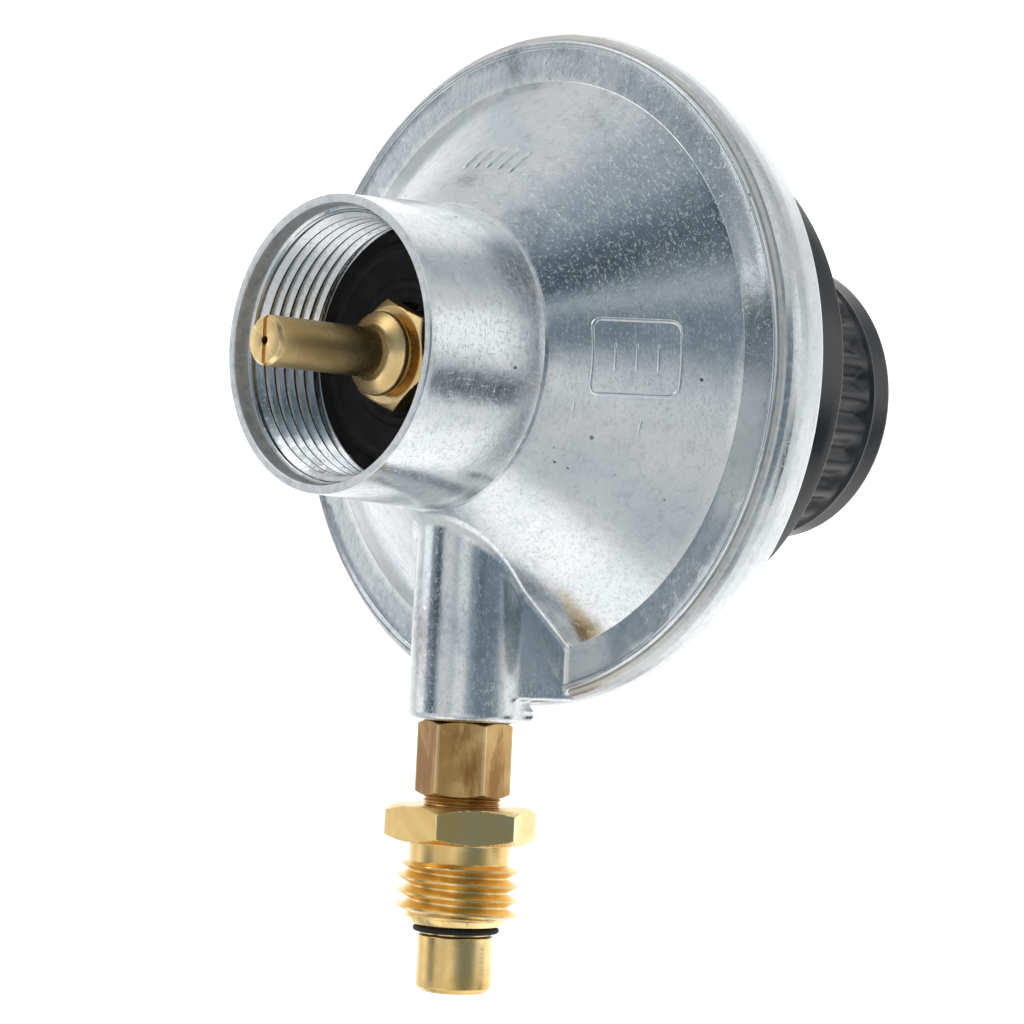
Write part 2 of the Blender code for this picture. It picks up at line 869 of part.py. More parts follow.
def outlet_jet(material):
    section = [(0.3, -60.4), (1.6, -60.4), (1.9, -60.1), (1.9, -56.4), (1.1, -56.4), (1.1, -59.6)]
    section.append((0.3, -59.9))
    return loft("outlet_jet", section, material, at=(0.0, OUTLET_Y, -58.0), axis="Z", steps=TINY)


def outlet_o_ring(material):
    section = []
    for k in range(12):
        spin = 2 * math.pi * k / 12
        section.append((3.75 + 0.43 * math.cos(spin), -54.85 + 0.43 * math.sin(spin)))
    return loft(
        "outlet_o_ring", section, material, at=(0.0, OUTLET_Y, -54.85), axis="Z", steps=SMALL
    )


def main():
    clear_scene()
    zinc = cast_zinc()
    pale_zinc = bonnet_zinc()
    inlet_metal = probe_brass()
    outlet_metal = outlet_brass()
    tarnished = tarnished_brass()
    plastic = black_plastic()
    rubber = black_rubber()
    steel = plated_steel()
    wire = spring_steel()
    body_casting(zinc)
    bonnet(pale_zinc)
    rear_cover(plastic)
    stop_peg(steel)
    knob(plastic)
    knob_cap(plastic)
    adjusting_screw(steel)
    retaining_screw(steel)
    spring_follower(steel)
    stem_seal(rubber)
    diaphragm(diaphragm_rubber())
    lower_plate(steel)
    upper_plate(steel)
    diaphragm_stem(inlet_metal)
    stem_nut(steel)
    main_spring(wire)
    inlet_gasket(rubber)
    inlet_nipple(inlet_metal)
    probe(inlet_metal)
    inlet_filter(filter_bronze())
    poppet_spring(wire)
    valve_poppet(inlet_metal)
    poppet_seal(rubber)
    valve_seat(inlet_metal)
    outlet_nipple(tarnished)
    outlet_fitting(outlet_metal)
    outlet_jet(outlet_metal)
    outlet_o_ring(rubber)


main()
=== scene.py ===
"""Studio scene of a gas regulator: fine surfaces, materials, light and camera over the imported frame."""

import math
import bmesh
import bpy
import numpy as np
from mathutils import Matrix, Vector


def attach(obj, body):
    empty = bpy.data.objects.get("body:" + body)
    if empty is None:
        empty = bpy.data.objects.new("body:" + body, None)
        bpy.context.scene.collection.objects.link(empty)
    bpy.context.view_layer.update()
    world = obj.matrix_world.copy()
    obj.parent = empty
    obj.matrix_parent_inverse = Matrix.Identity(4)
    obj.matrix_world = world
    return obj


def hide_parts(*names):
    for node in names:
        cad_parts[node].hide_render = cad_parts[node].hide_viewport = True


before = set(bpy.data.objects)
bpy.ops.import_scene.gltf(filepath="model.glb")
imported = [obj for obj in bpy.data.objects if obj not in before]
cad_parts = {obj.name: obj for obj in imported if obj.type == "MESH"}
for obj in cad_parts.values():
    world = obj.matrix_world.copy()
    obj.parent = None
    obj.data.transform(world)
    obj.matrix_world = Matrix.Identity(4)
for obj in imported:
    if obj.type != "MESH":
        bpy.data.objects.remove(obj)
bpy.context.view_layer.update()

MM = 0.001
TURN = 2 * math.pi

# Sizes are in mm. The regulator's axis is Y through the origin, and the outlet's is upright at
# OUTLET_Y. The drops and the rise are how far those parts sit off the regulator's axis.
OUTLET_Y = 20.4
INLET_DROP = -0.35
KNOB_DROP = -0.30
COVER_RISE = 0.76

# The camera's bearing, height and roll in degrees, its place, and its lens and sensor in mm
AZIMUTH = 44.946
ELEVATION = -1.670
ROLL = 2.716
CAMERA_AT = (231.04, -206.10, -23.79)
LENS = 117.53789
SENSOR = 36.0

# Fillets: degrees between their points, the half angle above which a corner is left as it is,
# and the share of a side that one fillet may take
ARC_STEP = 14.0
NEARLY_STRAIGHT = math.radians(88)
MOST_OF_SIDE = 0.49

# Chamfered ends of a nut: the cone's slope, how far inside the flats it starts, and how much
# further than from flat to corner it goes
CHAMFER_SLOPE = math.radians(30)
CHAMFER_IN = 0.12
CHAMFER_REACH = 0.14

# ----------------------------------------------------------------------------------------------
# Mesh code
# ----------------------------------------------------------------------------------------------


def piece(name, points, faces, material, body, sharp=35.0, merge=1e-6):
    """A smooth mesh object in metres that rides on a body."""
    mesh = bpy.data.meshes.new(name)
    mesh.from_pydata(points.tolist(), [], faces)
    work = bmesh.new()
    work.from_mesh(mesh)
    bmesh.ops.remove_doubles(work, verts=work.verts[:], dist=merge)
    bmesh.ops.dissolve_degenerate(work, edges=work.edges[:], dist=merge)
    bmesh.ops.recalc_face_normals(work, faces=work.faces[:])
    work.to_mesh(mesh)
    work.free()
    mesh.polygons.foreach_set("use_smooth", [True] * len(mesh.polygons))
    mesh.set_sharp_from_angle(angle=math.radians(sharp))
    obj = bpy.data.objects.new(name, mesh)
    bpy.context.scene.collection.objects.link(obj)
    mesh.materials.append(material)
    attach(obj, body)
    return obj


def rounded(corners):
    """Polyline through (radius, station, fillet) corners, with each fillet as an arc of points."""
    points = []
    count = len(corners)
    for k, (r, s, fillet) in enumerate(corners):
        here = np.array((r, s))
        if fillet == 0 or k in (0, count - 1):
            points.append(here)
            continue
        before = np.array(corners[k - 1][:2]) - here
        after = np.array(corners[k + 1][:2]) - here
        len_a, len_b = np.linalg.norm(before), np.linalg.norm(after)
        before, after = before / len_a, after / len_b
        half = 0.5 * math.acos(float(np.clip(before @ after, -1, 1)))
        if half > NEARLY_STRAIGHT:
            points.append(here)
            continue
        back = min(fillet / math.tan(half), MOST_OF_SIDE * len_a, MOST_OF_SIDE * len_b)
        radius = back * math.tan(half)
        middle = before + after
        centre = here + middle / np.linalg.norm(middle) * radius / math.sin(half)
        start, end = here + before * back, here + after * back
        a0 = math.atan2(*(start - centre)[::-1])
        a1 = math.atan2(*(end - centre)[::-1])
        sweep = (a1 - a0 + math.pi) % TURN - math.pi
        steps = max(2, int(abs(math.degrees(sweep)) / ARC_STEP))
        for step in range(steps + 1):
            angle = a0 + sweep * step / steps
            points.append(centre + radius * np.array((math.cos(angle), math.sin(angle))))
    return points


def dense(points, longest):
    """The same polyline with no stretch longer than the given length."""
    out = [points[0]]
    for a, b in zip(points, points[1:]):
        parts = max(1, int(math.ceil(np.linalg.norm(b - a) / longest)))
        for k in range(parts):
            out.append(a + (b - a) * (k + 1) / parts)
    return out


def rows_of(points, steps):
    """Plain turned rows: the same radius and station all the way round."""
    return [(np.full(steps + 1, p[0]), np.full(steps + 1, p[1])) for p in points]


def smooth_step(x):
    x = np.clip(x, 0.0, 1.0)
    return x * x * (3 - 2 * x)


def thread_rows(start, end, pitch, root, crest, end_radius, steps, per_pitch=14, flat=0.16, fade=0.6):
    """Rows of a true right-hand helical thread between two stations.

    root and crest are its radii, end_radius what it runs out to at each end, and flat the share
    of a pitch that the crest and the root flats each take.
    """
    way = 1.0 if end > start else -1.0
    length = abs(end - start)
    theta = np.linspace(0, TURN, steps + 1)
    rows = []
    last = int(math.ceil(length / pitch)) * per_pitch
    for k in range(-per_pitch, last + 1):
        along = (k / per_pitch + theta / TURN) * pitch
        along = np.clip(along, 0.0, length)
        share = (k / per_pitch) % 1.0
        slope = (1.0 - 2 * flat) / 2
        wave = np.clip((abs(share - 0.5) - flat / 2) / slope, 0.0, 1.0)
        radius = crest + (root - crest) * wave
        near = smooth_step(along / fade)
        far = smooth_step((length - along) / fade)
        r = end_radius[0] + (radius - end_radius[0]) * near
        r = end_radius[1] + (r - end_radius[1]) * far
        rows.append((r, start + way * along))
    return rows


def turned(name, rows, material, body, axis="Y", centre=(0.0, 0.0), closed=True, spin=0.0, **more):
    """Skin a stack of rows of (radius, station) round an axis. centre is the axis's own place."""
    steps = len(rows[0][0]) - 1
    theta = np.linspace(0, TURN, steps + 1) + spin
    points = []
    for r, s in rows:
        u, v = centre[0] + r * np.cos(theta), centre[1] + r * np.sin(theta)
        points.append(np.stack((u, s, v) if axis == "Y" else (u, v, s), 1))
    points = np.concatenate(points) * MM
    wide = steps + 1
    faces = []
    count = len(rows)
    pairs = [(k, k + 1) for k in range(count - 1)]
    if closed:
        pairs.append((count - 1, 0))
    for a, b in pairs:
        for j in range(steps):
            faces.append((a * wide + j, a * wide + j + 1, b * wide + j + 1, b * wide + j))
    return piece(name, points, faces, material, body, **more)


def hexagon(across_flats, steps, limit):
    """Row radii of a hexagon with its corners cut to a circle."""
    theta = np.linspace(0, TURN, steps + 1)
    offset = (theta + math.pi / 6) % (math.pi / 3) - math.pi / 6
    return np.minimum(0.5 * across_flats / np.cos(offset), limit)


def hex_rows(across_flats, start, end, steps, chamfer_start, chamfer_end, per=7):
    """Rows of a hexagon prism whose ends are chamfered by cones, as turned nuts are."""
    corner = across_flats / math.sqrt(3)
    flat = across_flats / 2
    way = 1.0 if end > start else -1.0
    rows = []
    for side, (station, chamfered) in enumerate(((start, chamfer_start), (end, chamfer_end))):
        inward = way if side == 0 else -way
        face_rows = []
        for k in range(per + 1):
            share = k / per if chamfered else 0.0
            limit = flat - CHAMFER_IN + (corner - flat + CHAMFER_REACH) * share
            depth = (corner - flat) * math.tan(CHAMFER_SLOPE) * share
            r = hexagon(across_flats, steps, limit if chamfered else corner)
            face_rows.append((r, np.full(steps + 1, station + inward * depth)))
            if not chamfered:
                break
        rows += face_rows if side == 0 else face_rows[::-1]
    return rows


def surface_nets(field, low, step):
    """Vertices and quads of the zero surface of a sampled distance field, negative inside."""
    shape = np.array(field.shape) - 1
    total = np.zeros((*shape, 3), np.float32)
    count = np.zeros(shape, np.float32)
    inside = field < 0
    crossings = []
    for axis in range(3):
        a = np.take(field, range(field.shape[axis] - 1), axis)
        b = np.take(field, range(1, field.shape[axis]), axis)
        cross = (a < 0) != (b < 0)
        share = np.where(cross, a / np.where(cross, a - b, 1), 0).astype(np.float32)
        others = [k for k in range(3) if k != axis]
        crossings.append((cross, np.take(inside, range(field.shape[axis] - 1), axis)))
        for u in (0, 1):
            for v in (0, 1):
                cut = [slice(None)] * 3
                cut[others[0]] = slice(u, u + shape[others[0]])
                cut[others[1]] = slice(v, v + shape[others[1]])
                hit = cross[tuple(cut)]
                total[..., axis] += np.where(hit, share[tuple(cut)], 0)
                total[..., others[0]] += np.where(hit, u, 0)
                total[..., others[1]] += np.where(hit, v, 0)
                count += hit
    active = count > 0
    number = np.full(shape, -1, np.int64)
    number[active] = np.arange(active.sum())
    cells = np.argwhere(active)
    points = (cells + total[active] / count[active][:, None]) * step + low
    faces = []
    for axis in range(3):
        cross, first_in = crossings[axis]
        others = [k for k in range(3) if k != axis]
        where = np.argwhere(cross)
        good = np.ones(len(where), bool)
        for k in others:
            good &= (where[:, k] > 0) & (where[:, k] < shape[k])
        where = where[good]
        flip = first_in[tuple(where.T)]
        if axis == 1:
            flip = ~flip
        quad = []
        for u, v in ((0, 0), (-1, 0), (-1, -1), (0, -1)):
            cell = where.copy()
            cell[:, others[0]] += u
            cell[:, others[1]] += v
            quad.append(number[tuple(cell.T)])
        quad = np.stack(quad, 1)
        quad[flip] = quad[flip][:, ::-1]
        faces.append(quad)
    return points, np.concatenate(faces)


# ----------------------------------------------------------------------------------------------
# Materials
# ----------------------------------------------------------------------------------------------


class Nodes:
    """Short calls for building one material's node tree."""

    def __init__(self, name):
        self.material = bpy.data.materials.new(name)
        self.material.use_nodes = True
        self.tree = self.material.node_tree
        self.shader = self.tree.nodes["Principled BSDF"]
        place = self.add("ShaderNodeTexCoord")
        self.place = place.outputs["Object"]

    def add(self, kind, **settings):
        node = self.tree.nodes.new(kind)
        for key, value in settings.items():
            setattr(node, key, value)
        return node

    def link(self, output, target):
        self.tree.links.new(output, target)

    def stretched(self, scale):
        """The place, scaled by a different amount along each axis."""
        node = self.add("ShaderNodeMapping")
        self.link(self.place, node.inputs["Vector"])
        node.inputs["Scale"].default_value = scale
        return node.outputs["Vector"]

    def noise(self, scale, detail=4.0, rough=0.55, where=None, distortion=0.0):
        node = self.add("ShaderNodeTexNoise")
        self.link(where or self.place, node.inputs["Vector"])
        node.inputs["Scale"].default_value = scale
        node.inputs["Detail"].default_value = detail
        node.inputs["Roughness"].default_value = rough
        node.inputs["Distortion"].default_value = distortion
        return node.outputs["Fac"]

    def spots(self, scale):
        node = self.add("ShaderNodeTexVoronoi")
        self.link(self.place, node.inputs["Vector"])
        node.inputs["Scale"].default_value = scale
        return node.outputs["Distance"]

    def band(self, value, low, high, out_low=0.0, out_high=1.0):
        """Map a value smoothly from one range to another."""
        node = self.add("ShaderNodeMapRange", interpolation_type="SMOOTHSTEP")
        self.link(value, node.inputs["Value"])
        node.inputs["From Min"].default_value = low
        node.inputs["From Max"].default_value = high
        node.inputs["To Min"].default_value = out_low
        node.inputs["To Max"].default_value = out_high
        return node.outputs["Result"]

    def math(self, operation, a, b=None):
        node = self.add("ShaderNodeMath", operation=operation)
        for slot, value in enumerate((a, b)):
            if value is None:
                continue
            if isinstance(value, (int, float)):
                node.inputs[slot].default_value = value
            else:
                self.link(value, node.inputs[slot])
        return node.outputs["Value"]

    def times(self, a, b):
        return self.math("MULTIPLY", a, b)

    def plus(self, a, b):
        return self.math("ADD", a, b)

    def mix(self, share, a, b):
        """Blend two colours by a share."""
        node = self.add("ShaderNodeMix", data_type="RGBA")
        self.link(share, node.inputs["Factor"])
        for slot, value in ((6, a), (7, b)):
            if isinstance(value, tuple):
                node.inputs[slot].default_value = (*value, 1.0)
            else:
                self.link(value, node.inputs[slot])
        return node.outputs[2]

    def layer(self, under, share, strength, over):
        """Lay one colour over another by a share, and at most as much as strength."""
        return self.mix(self.times(share, strength), under, over)

    def zone(self, axis, low, high):
        """Where a place along an axis, or its "radius" from the regulator's axis, is past high."""
        parts = self.add("ShaderNodeSeparateXYZ")
        self.link(self.place, parts.inputs["Vector"])
        if axis == "radius":
            squares = [self.times(parts.outputs[k], parts.outputs[k]) for k in ("X", "Z")]
            value = self.math("SQRT", self.plus(*squares))
        else:
            value = parts.outputs[axis]
        return self.band(value, low, high)

    def pointed(self, low, high):
        """Where the surface is convex, such as along an edge."""
        node = self.add("ShaderNodeNewGeometry")
        return self.band(node.outputs["Pointiness"], low, high)

    def bump(self, height, distance, strength):
        """A normal from a height, whose full range stands for a distance in metres."""
        node = self.add("ShaderNodeBump")
        node.inputs["Strength"].default_value = strength
        node.inputs["Distance"].default_value = distance
        self.link(height, node.inputs["Height"])
        return node.outputs["Normal"]

    def finish(self, colour, roughness, normal, metallic, **values):
        """Join maps or plain numbers to the shader, and set its other named values."""
        inputs = self.shader.inputs
        sockets = ("Base Color", "Roughness", "Normal", "Metallic")
        for key, value in zip(sockets, (colour, roughness, normal, metallic)):
            if isinstance(value, (int, float)):
                inputs[key].default_value = value
            else:
                self.link(value, inputs[key])
        for key, value in values.items():
            inputs[key].default_value = value
        return self.material


SPARKLE = (0.97, 0.97, 0.96)
HOLLOW_SHADE_GREY = (0.24, 0.27, 0.29)
STAIN_GREY = (0.19, 0.19, 0.18)
SPECK_GREY = (0.13, 0.13, 0.13)
RUBBED_AND_HIGHLIGHT_GREY = (0.86, 0.88, 0.88)
PAINTED_HIGHLIGHT_GREY = (0.30, 0.305, 0.31)
BRIGHT_BRASS = (0.92, 0.76, 0.42)


def zinc(name, tones, rough, stains, matt_zones, matt_colour):
    """Die-cast zinc: cloudy grey patches, frosted sparkle, convex edges lighter as rubbed wear and as a
    painted highlight, painted shade in the small hollows, stains, specks, scratches.

    tones are its dark, light, frosted and bluish greys. It is matt where all the zones meet.
    """
    dark, light, frost, blue = tones
    n = Nodes(name)
    cloud = n.noise(38.0, 4.0, 0.55, distortion=0.7)
    patches = n.noise(150.0, 6.0, 0.65, distortion=0.5)
    frosted = n.band(n.noise(75.0, 5.0, 0.65, distortion=0.9), 0.42, 0.60)
    grain = n.noise(2600.0, 4.0, 0.75)
    fine = n.noise(900.0, 5.0, 0.7)
    colour = n.mix(n.band(cloud, 0.36, 0.64), dark, light)
    colour = n.layer(colour, n.band(patches, 0.42, 0.70), 0.36, frost)
    bluish = n.band(n.noise(52.0, 4.0, 0.6, distortion=1.2), 0.50, 0.68)
    colour = n.layer(colour, bluish, 0.40, blue)
    sparkle = n.times(n.band(grain, 0.50, 0.72), frosted)
    colour = n.layer(colour, sparkle, 0.26, SPARKLE)
    # painted shade: darker grey where the fine noise is low, which is where it also lowers the bump, so
    # the small hollows look shaded
    colour = n.layer(colour, n.band(fine, 0.52, 0.30), 0.22, HOLLOW_SHADE_GREY)
    stain = n.band(n.noise(48.0, 6.0, 0.68, distortion=0.4), 0.62 - 0.04 * stains, 0.74)
    stain = n.times(stain, n.band(n.noise(420.0, 5.0, 0.7), 0.40, 0.58))
    colour = n.layer(colour, stain, 0.80, STAIN_GREY)
    specks = n.band(n.spots(540.0), 0.13, 0.05)
    specks = n.times(specks, n.band(n.noise(130.0, 3.0), 0.56, 0.66))
    colour = n.mix(specks, colour, SPECK_GREY)
    # convex edges lighter grey: partly rubbed wear, partly a painted highlight along the edges
    colour = n.layer(colour, n.pointed(0.515, 0.56), 0.7, RUBBED_AND_HIGHLIGHT_GREY)
    matt = n.zone(*matt_zones[0])
    for zone in matt_zones[1:]:
        matt = n.times(matt, n.zone(*zone))
    colour = n.mix(n.times(matt, n.band(fine, 0.38, 0.60, 0.10, 0.90)), colour, matt_colour)
    roughness = n.plus(n.band(patches, 0.3, 0.7, rough, rough + 0.06), n.times(frosted, 0.05))
    roughness = n.plus(roughness, n.times(matt, 0.20))
    scratch = n.band(n.noise(90.0, 3.0, 0.6, n.stretched((14.0, 60.0, 14.0))), 0.60, 0.66)
    across = n.band(n.noise(110.0, 3.0, 0.6, n.stretched((60.0, 10.0, 34.0))), 0.62, 0.67)
    height = n.plus(n.times(n.noise(230.0, 3.0, 0.5), 0.75), n.times(fine, 0.21))
    height = n.plus(height, n.times(grain, 0.12))
    height = n.plus(height, n.times(matt, n.times(n.noise(520.0, 4.0, 0.7), 3.0)))
    height = n.math("SUBTRACT", height, specks)
    height = n.math("SUBTRACT", height, n.times(n.plus(scratch, across), 0.16))
    normal = n.bump(height, 0.00005, 0.9)
    metallic = n.math("SUBTRACT", 0.96, n.times(matt, 0.45))
    return n.finish(colour, roughness, normal, metallic)


def cast_zinc():
    """The body's zinc, matt and paler inside the collar's rim."""
    tones = ((0.63, 0.66, 0.67), (0.72, 0.74, 0.74), (0.80, 0.81, 0.80), (0.50, 0.58, 0.65))
    rim = (("radius", 0.01396, 0.01384), ("Y", 0.0019, 0.0016))
    return zinc("cast_zinc_worn_and_painted_light", tones, 0.12, 1.6, rim, (0.80, 0.82, 0.83))


def rim_zinc():
    """The bonnet's zinc, with a matt grey-brown line along its rolled edge."""
    tones = ((0.54, 0.57, 0.58), (0.65, 0.67, 0.67), (0.76, 0.77, 0.76), (0.46, 0.54, 0.60))
    edge = (("Y", 0.02715, 0.02690),)
    return zinc("rim_zinc_worn_and_painted_light", tones, 0.16, 0.4, edge, (0.70, 0.67, 0.60))


def brass(name, light, dark, rough, tarnish=None, lathe_axis="Z"):
    """Turned brass: fine tool lines round its axis, bright edges and, if wanted, tarnish."""
    n = Nodes(name)
    cloud = n.noise(160.0, 5.0, 0.6, distortion=0.8)
    colour = n.mix(n.band(cloud, 0.35, 0.68), light, dark)
    if tarnish is not None:
        stain = n.band(n.noise(170.0, 6.0, 0.65, n.stretched((1.3, 1.3, 0.3)), 0.6), 0.44, 0.60)
        colour = n.mix(stain, colour, tarnish)
    colour = n.mix(n.pointed(0.53, 0.60), colour, BRIGHT_BRASS)
    scale = (60.0, 60.0, 3600.0) if lathe_axis == "Z" else (60.0, 3600.0, 60.0)
    lines = n.noise(1.0, 3.0, 0.6, n.stretched(scale))
    height = n.plus(n.times(lines, 0.6), n.noise(700.0, 3.0, 0.6))
    roughness = n.band(cloud, 0.3, 0.7, rough, rough + 0.12)
    return n.finish(colour, roughness, n.bump(height, 0.00002, 0.7), 1.0)


def black_moulding(name, rough, colours=((0.004, 0.0045, 0.005), (0.035, 0.036, 0.038)), highlight_to=None):
    """Satin black moulded plastic: faint grain, grey dust, and a painted highlight: convex edges lighter
    grey up to a given place on Y.
    """
    n = Nodes(name)
    dust = n.band(n.noise(300.0, 6.0, 0.7), 0.55, 0.75)
    colour = n.layer(colours[0], dust, 0.30, colours[1])
    if highlight_to is not None:
        # painted highlight: convex edges turn lighter grey up to the given place on Y, standing in for
        # the bright line along the knob's rim
        painted_highlight = n.times(n.pointed(0.52, 0.60), n.zone("Y", highlight_to, highlight_to - 0.0002))
        colour = n.mix(painted_highlight, colour, PAINTED_HIGHLIGHT_GREY)
    height = n.noise(1500.0, 3.0, 0.6)
    roughness = n.band(n.noise(120.0, 4.0, 0.6), 0.35, 0.65, rough, rough + 0.10)
    return n.finish(colour, roughness, n.bump(height, 0.00001, 0.4), 0.0, IOR=1.50)


def rubber(name, colour_a, colour_b):
    """Matt black rubber with moulding grain and a little bloom."""
    n = Nodes(name)
    bloom = n.noise(400.0, 5.0, 0.65)
    height = n.noise(1800.0, 4.0, 0.6)
    colour = n.mix(n.band(bloom, 0.4, 0.7), colour_a, colour_b)
    roughness = n.band(bloom, 0.3, 0.7, 0.55, 0.75)
    return n.finish(colour, roughness, n.bump(height, 0.00003, 0.6), 0.0, IOR=1.36)


def steel(name, tint):
    """Plated or drawn steel with faint clouds and a fine grain."""
    n = Nodes(name)
    cloud = n.noise(150.0, 4.0, 0.6)
    lighter = tuple(min(1.0, c * 1.25) for c in tint)
    colour = n.mix(n.band(cloud, 0.35, 0.65), tint, lighter)
    height = n.noise(900.0, 4.0, 0.6)
    roughness = n.band(cloud, 0.3, 0.7, 0.24, 0.40)
    return n.finish(colour, roughness, n.bump(height, 0.00002, 0.5), 1.0)


def sintered_bronze():
    """Small round grains of bronze with dark gaps, for the filter."""
    n = Nodes("sintered_bronze")
    grains = n.spots(4200.0)
    colour = n.mix(n.band(grains, 0.1, 0.6), (0.50, 0.34, 0.20), (0.20, 0.13, 0.08))
    return n.finish(colour, 0.6, n.bump(grains, 0.00008, 0.8), 1.0)


ZINC = cast_zinc()
RIM = rim_zinc()
PROBE_BRASS = brass("probe_brass_satin", (0.88, 0.66, 0.33), (0.70, 0.49, 0.21), 0.22, None, "Y")
OUTLET_BRASS = brass("outlet_brass_bright", (0.94, 0.71, 0.34), (0.84, 0.57, 0.21), 0.20)
TARNISHED = brass(
    "outlet_brass_tarnished", (0.60, 0.41, 0.17), (0.46, 0.28, 0.10), 0.28, (0.31, 0.16, 0.05)
)
PLASTIC = black_moulding("black_plastic_satin", 0.15)
# the knob's convex edges get a painted highlight up to 63.5 mm on Y
KNOB_PLASTIC = black_moulding(
    "black_knob_satin", 0.26, ((0.022, 0.0225, 0.024), (0.10, 0.103, 0.107)), 0.0635
)
COVER_PLASTIC = black_moulding("black_cover_satin", 0.16)
RUBBER = rubber("black_rubber_matt", (0.010, 0.010, 0.010), (0.026, 0.025, 0.024))
SHEET_RUBBER = rubber("diaphragm_rubber_matt", (0.030, 0.026, 0.024), (0.050, 0.045, 0.042))
STEEL = steel("plated_steel", (0.60, 0.59, 0.55))
SPRING = steel("spring_wire", (0.42, 0.42, 0.43))
BRONZE = sintered_bronze()

CARRIED = {
    "stop_peg": STEEL,
    "adjusting_screw": STEEL,
    "retaining_screw": STEEL,
    "spring_follower": STEEL,
    "lower_plate": STEEL,
    "upper_plate": STEEL,
    "stem_nut": STEEL,
    "stem_seal": RUBBER,
    "poppet_seal": RUBBER,
    "diaphragm": SHEET_RUBBER,
    "diaphragm_stem": PROBE_BRASS,
    "valve_poppet": PROBE_BRASS,
    "valve_seat": PROBE_BRASS,
    "inlet_filter": BRONZE,
    "main_spring": SPRING,
    "poppet_spring": SPRING,
    "outlet_jet": OUTLET_BRASS,
}


def paint_carried():
    """Give a material to each CAD node that no piece stands for."""
    for name, material in CARRIED.items():
        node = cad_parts[name]
        if not node.material_slots:
            node.data.materials.append(material)
        for place in node.material_slots:
            place.material = material


# ----------------------------------------------------------------------------------------------
# Pieces
# ----------------------------------------------------------------------------------------------

# The casting's outer section as (radius, station), and how much the cone's radius grows with
# each mm of its slope
COLLAR_R = 13.98
COLLAR_FOOT = (14.64, 14.02)
CONE_START = (14.84, 14.30)
CONE_END = (28.02, 26.26)
CONE_SPREAD = 0.7405
FLANGE_Y = 26.44
RIM_R = 32.16
COLLAR_STEPS = 288
THREAD_PITCH = 1.27

# Outlet boss: its radius, how fast that grows downwards, its end, the step of the grid that it
# is drawn on, and how far off the casting a face has to be to be kept
BOSS_R = 5.56
BOSS_DRAFT = 0.007
BOSS_END = -34.7
BOSS_STEP = 0.16
OUT_OF_BODY = 0.012

# Gusset: half its width at the outlet's axis and further back, how far back that is, its end,
# and how fast its back falls away
GUSSET_WIDTHS = (5.35, 7.2, 6.0)
GUSSET_END = -32.4
GUSSET_FALL = 0.96

# Stub of the casting's gate: its middle and half its size
GATE_AT = (3.6, 23.2, -33.0)
GATE_HALF = (1.5, 1.2, 1.6)

# A bead's section in shares of half its width and of its height, and how its ends narrow
ARCH = ((-1.0, -0.5), (-0.8, 0.45), (-0.35, 0.95), (0.35, 0.95), (0.8, 0.45), (1.0, -0.5))
BEAD_END = 0.55

# Ejector marks: radius, station, and their places as (x, z)
EJECTOR_R = 1.74
EJECTOR_Y = 26.432
EJECTOR_PLACES = ((-10.9, 28.0), (22.3, 19.9), (18.6, -23.6), (-27.6, -12.0))

# The bonnet's rolled lip: uneven outside LIP_INSIDE, less and less behind LIP_Y, and even from
# 1 mm behind it
LIP_Y = 26.9
LIP_INSIDE = 30.0

# Knob ribs: their number, depth, top and fade, and the radius that they lie outside
RIBS = 24
RIB_DEPTH = 0.80
RIB_TOP = 62.75
RIB_FADE = 2.0
SKIRT_INSIDE = 13.2

# Hexagons: size across flats, and turn about their own axis in degrees
INLET_HEX = 9.4
INLET_HEX_TURN = 8
SMALL_HEX = 8.0
SMALL_HEX_TURN = 11
BIG_HEX = 13.0
BIG_HEX_TURN = 28

PROBE_TIP = -7.55
O_RING = (3.80, 0.38, -54.78, 0.30)  # radius, half width, station and half height


def build_body():
    """The casting as one closed turned skin, with the collar's real thread."""
    inside = rows_of([(4.3, 17.9), (4.3, 12.3), (12.1, 12.3)], COLLAR_STEPS)
    root, crest = 12.78, 12.14
    ends = (crest, 12.80)
    thread = thread_rows(10.6, 1.9, THREAD_PITCH, root, crest, ends, COLLAR_STEPS, flat=0.12)
    outer = rounded(
        [
            (12.80, 1.9, 0.0),
            (13.10, 1.7, 0.10),
            (13.14, 0.06, 0.16),
            (13.30, 0.0, 0.05),
            (COLLAR_R, 0.0, 0.20),
            (*COLLAR_FOOT, 0.06),
            (14.70, 14.10, 0.05),
            (*CONE_START, 0.12),
            (28.22, FLANGE_Y, 0.14),
            (31.50, FLANGE_Y, 0.12),
            (31.62, 26.12, 0.10),
            (32.10, 26.10, 0.16),
            (RIM_R, 26.40, 0.05),
            (RIM_R, 28.9, 0.1),
            (26.2, 28.9, 0.0),
            (26.2, 27.6, 0.0),
            (15.4, 17.9, 0.0),
            (4.3, 17.9, 0.0),
        ]
    )
    rows = inside + thread + rows_of(dense(outer, 0.9), COLLAR_STEPS)
    return turned("body_shell", rows, ZINC, "regulator")


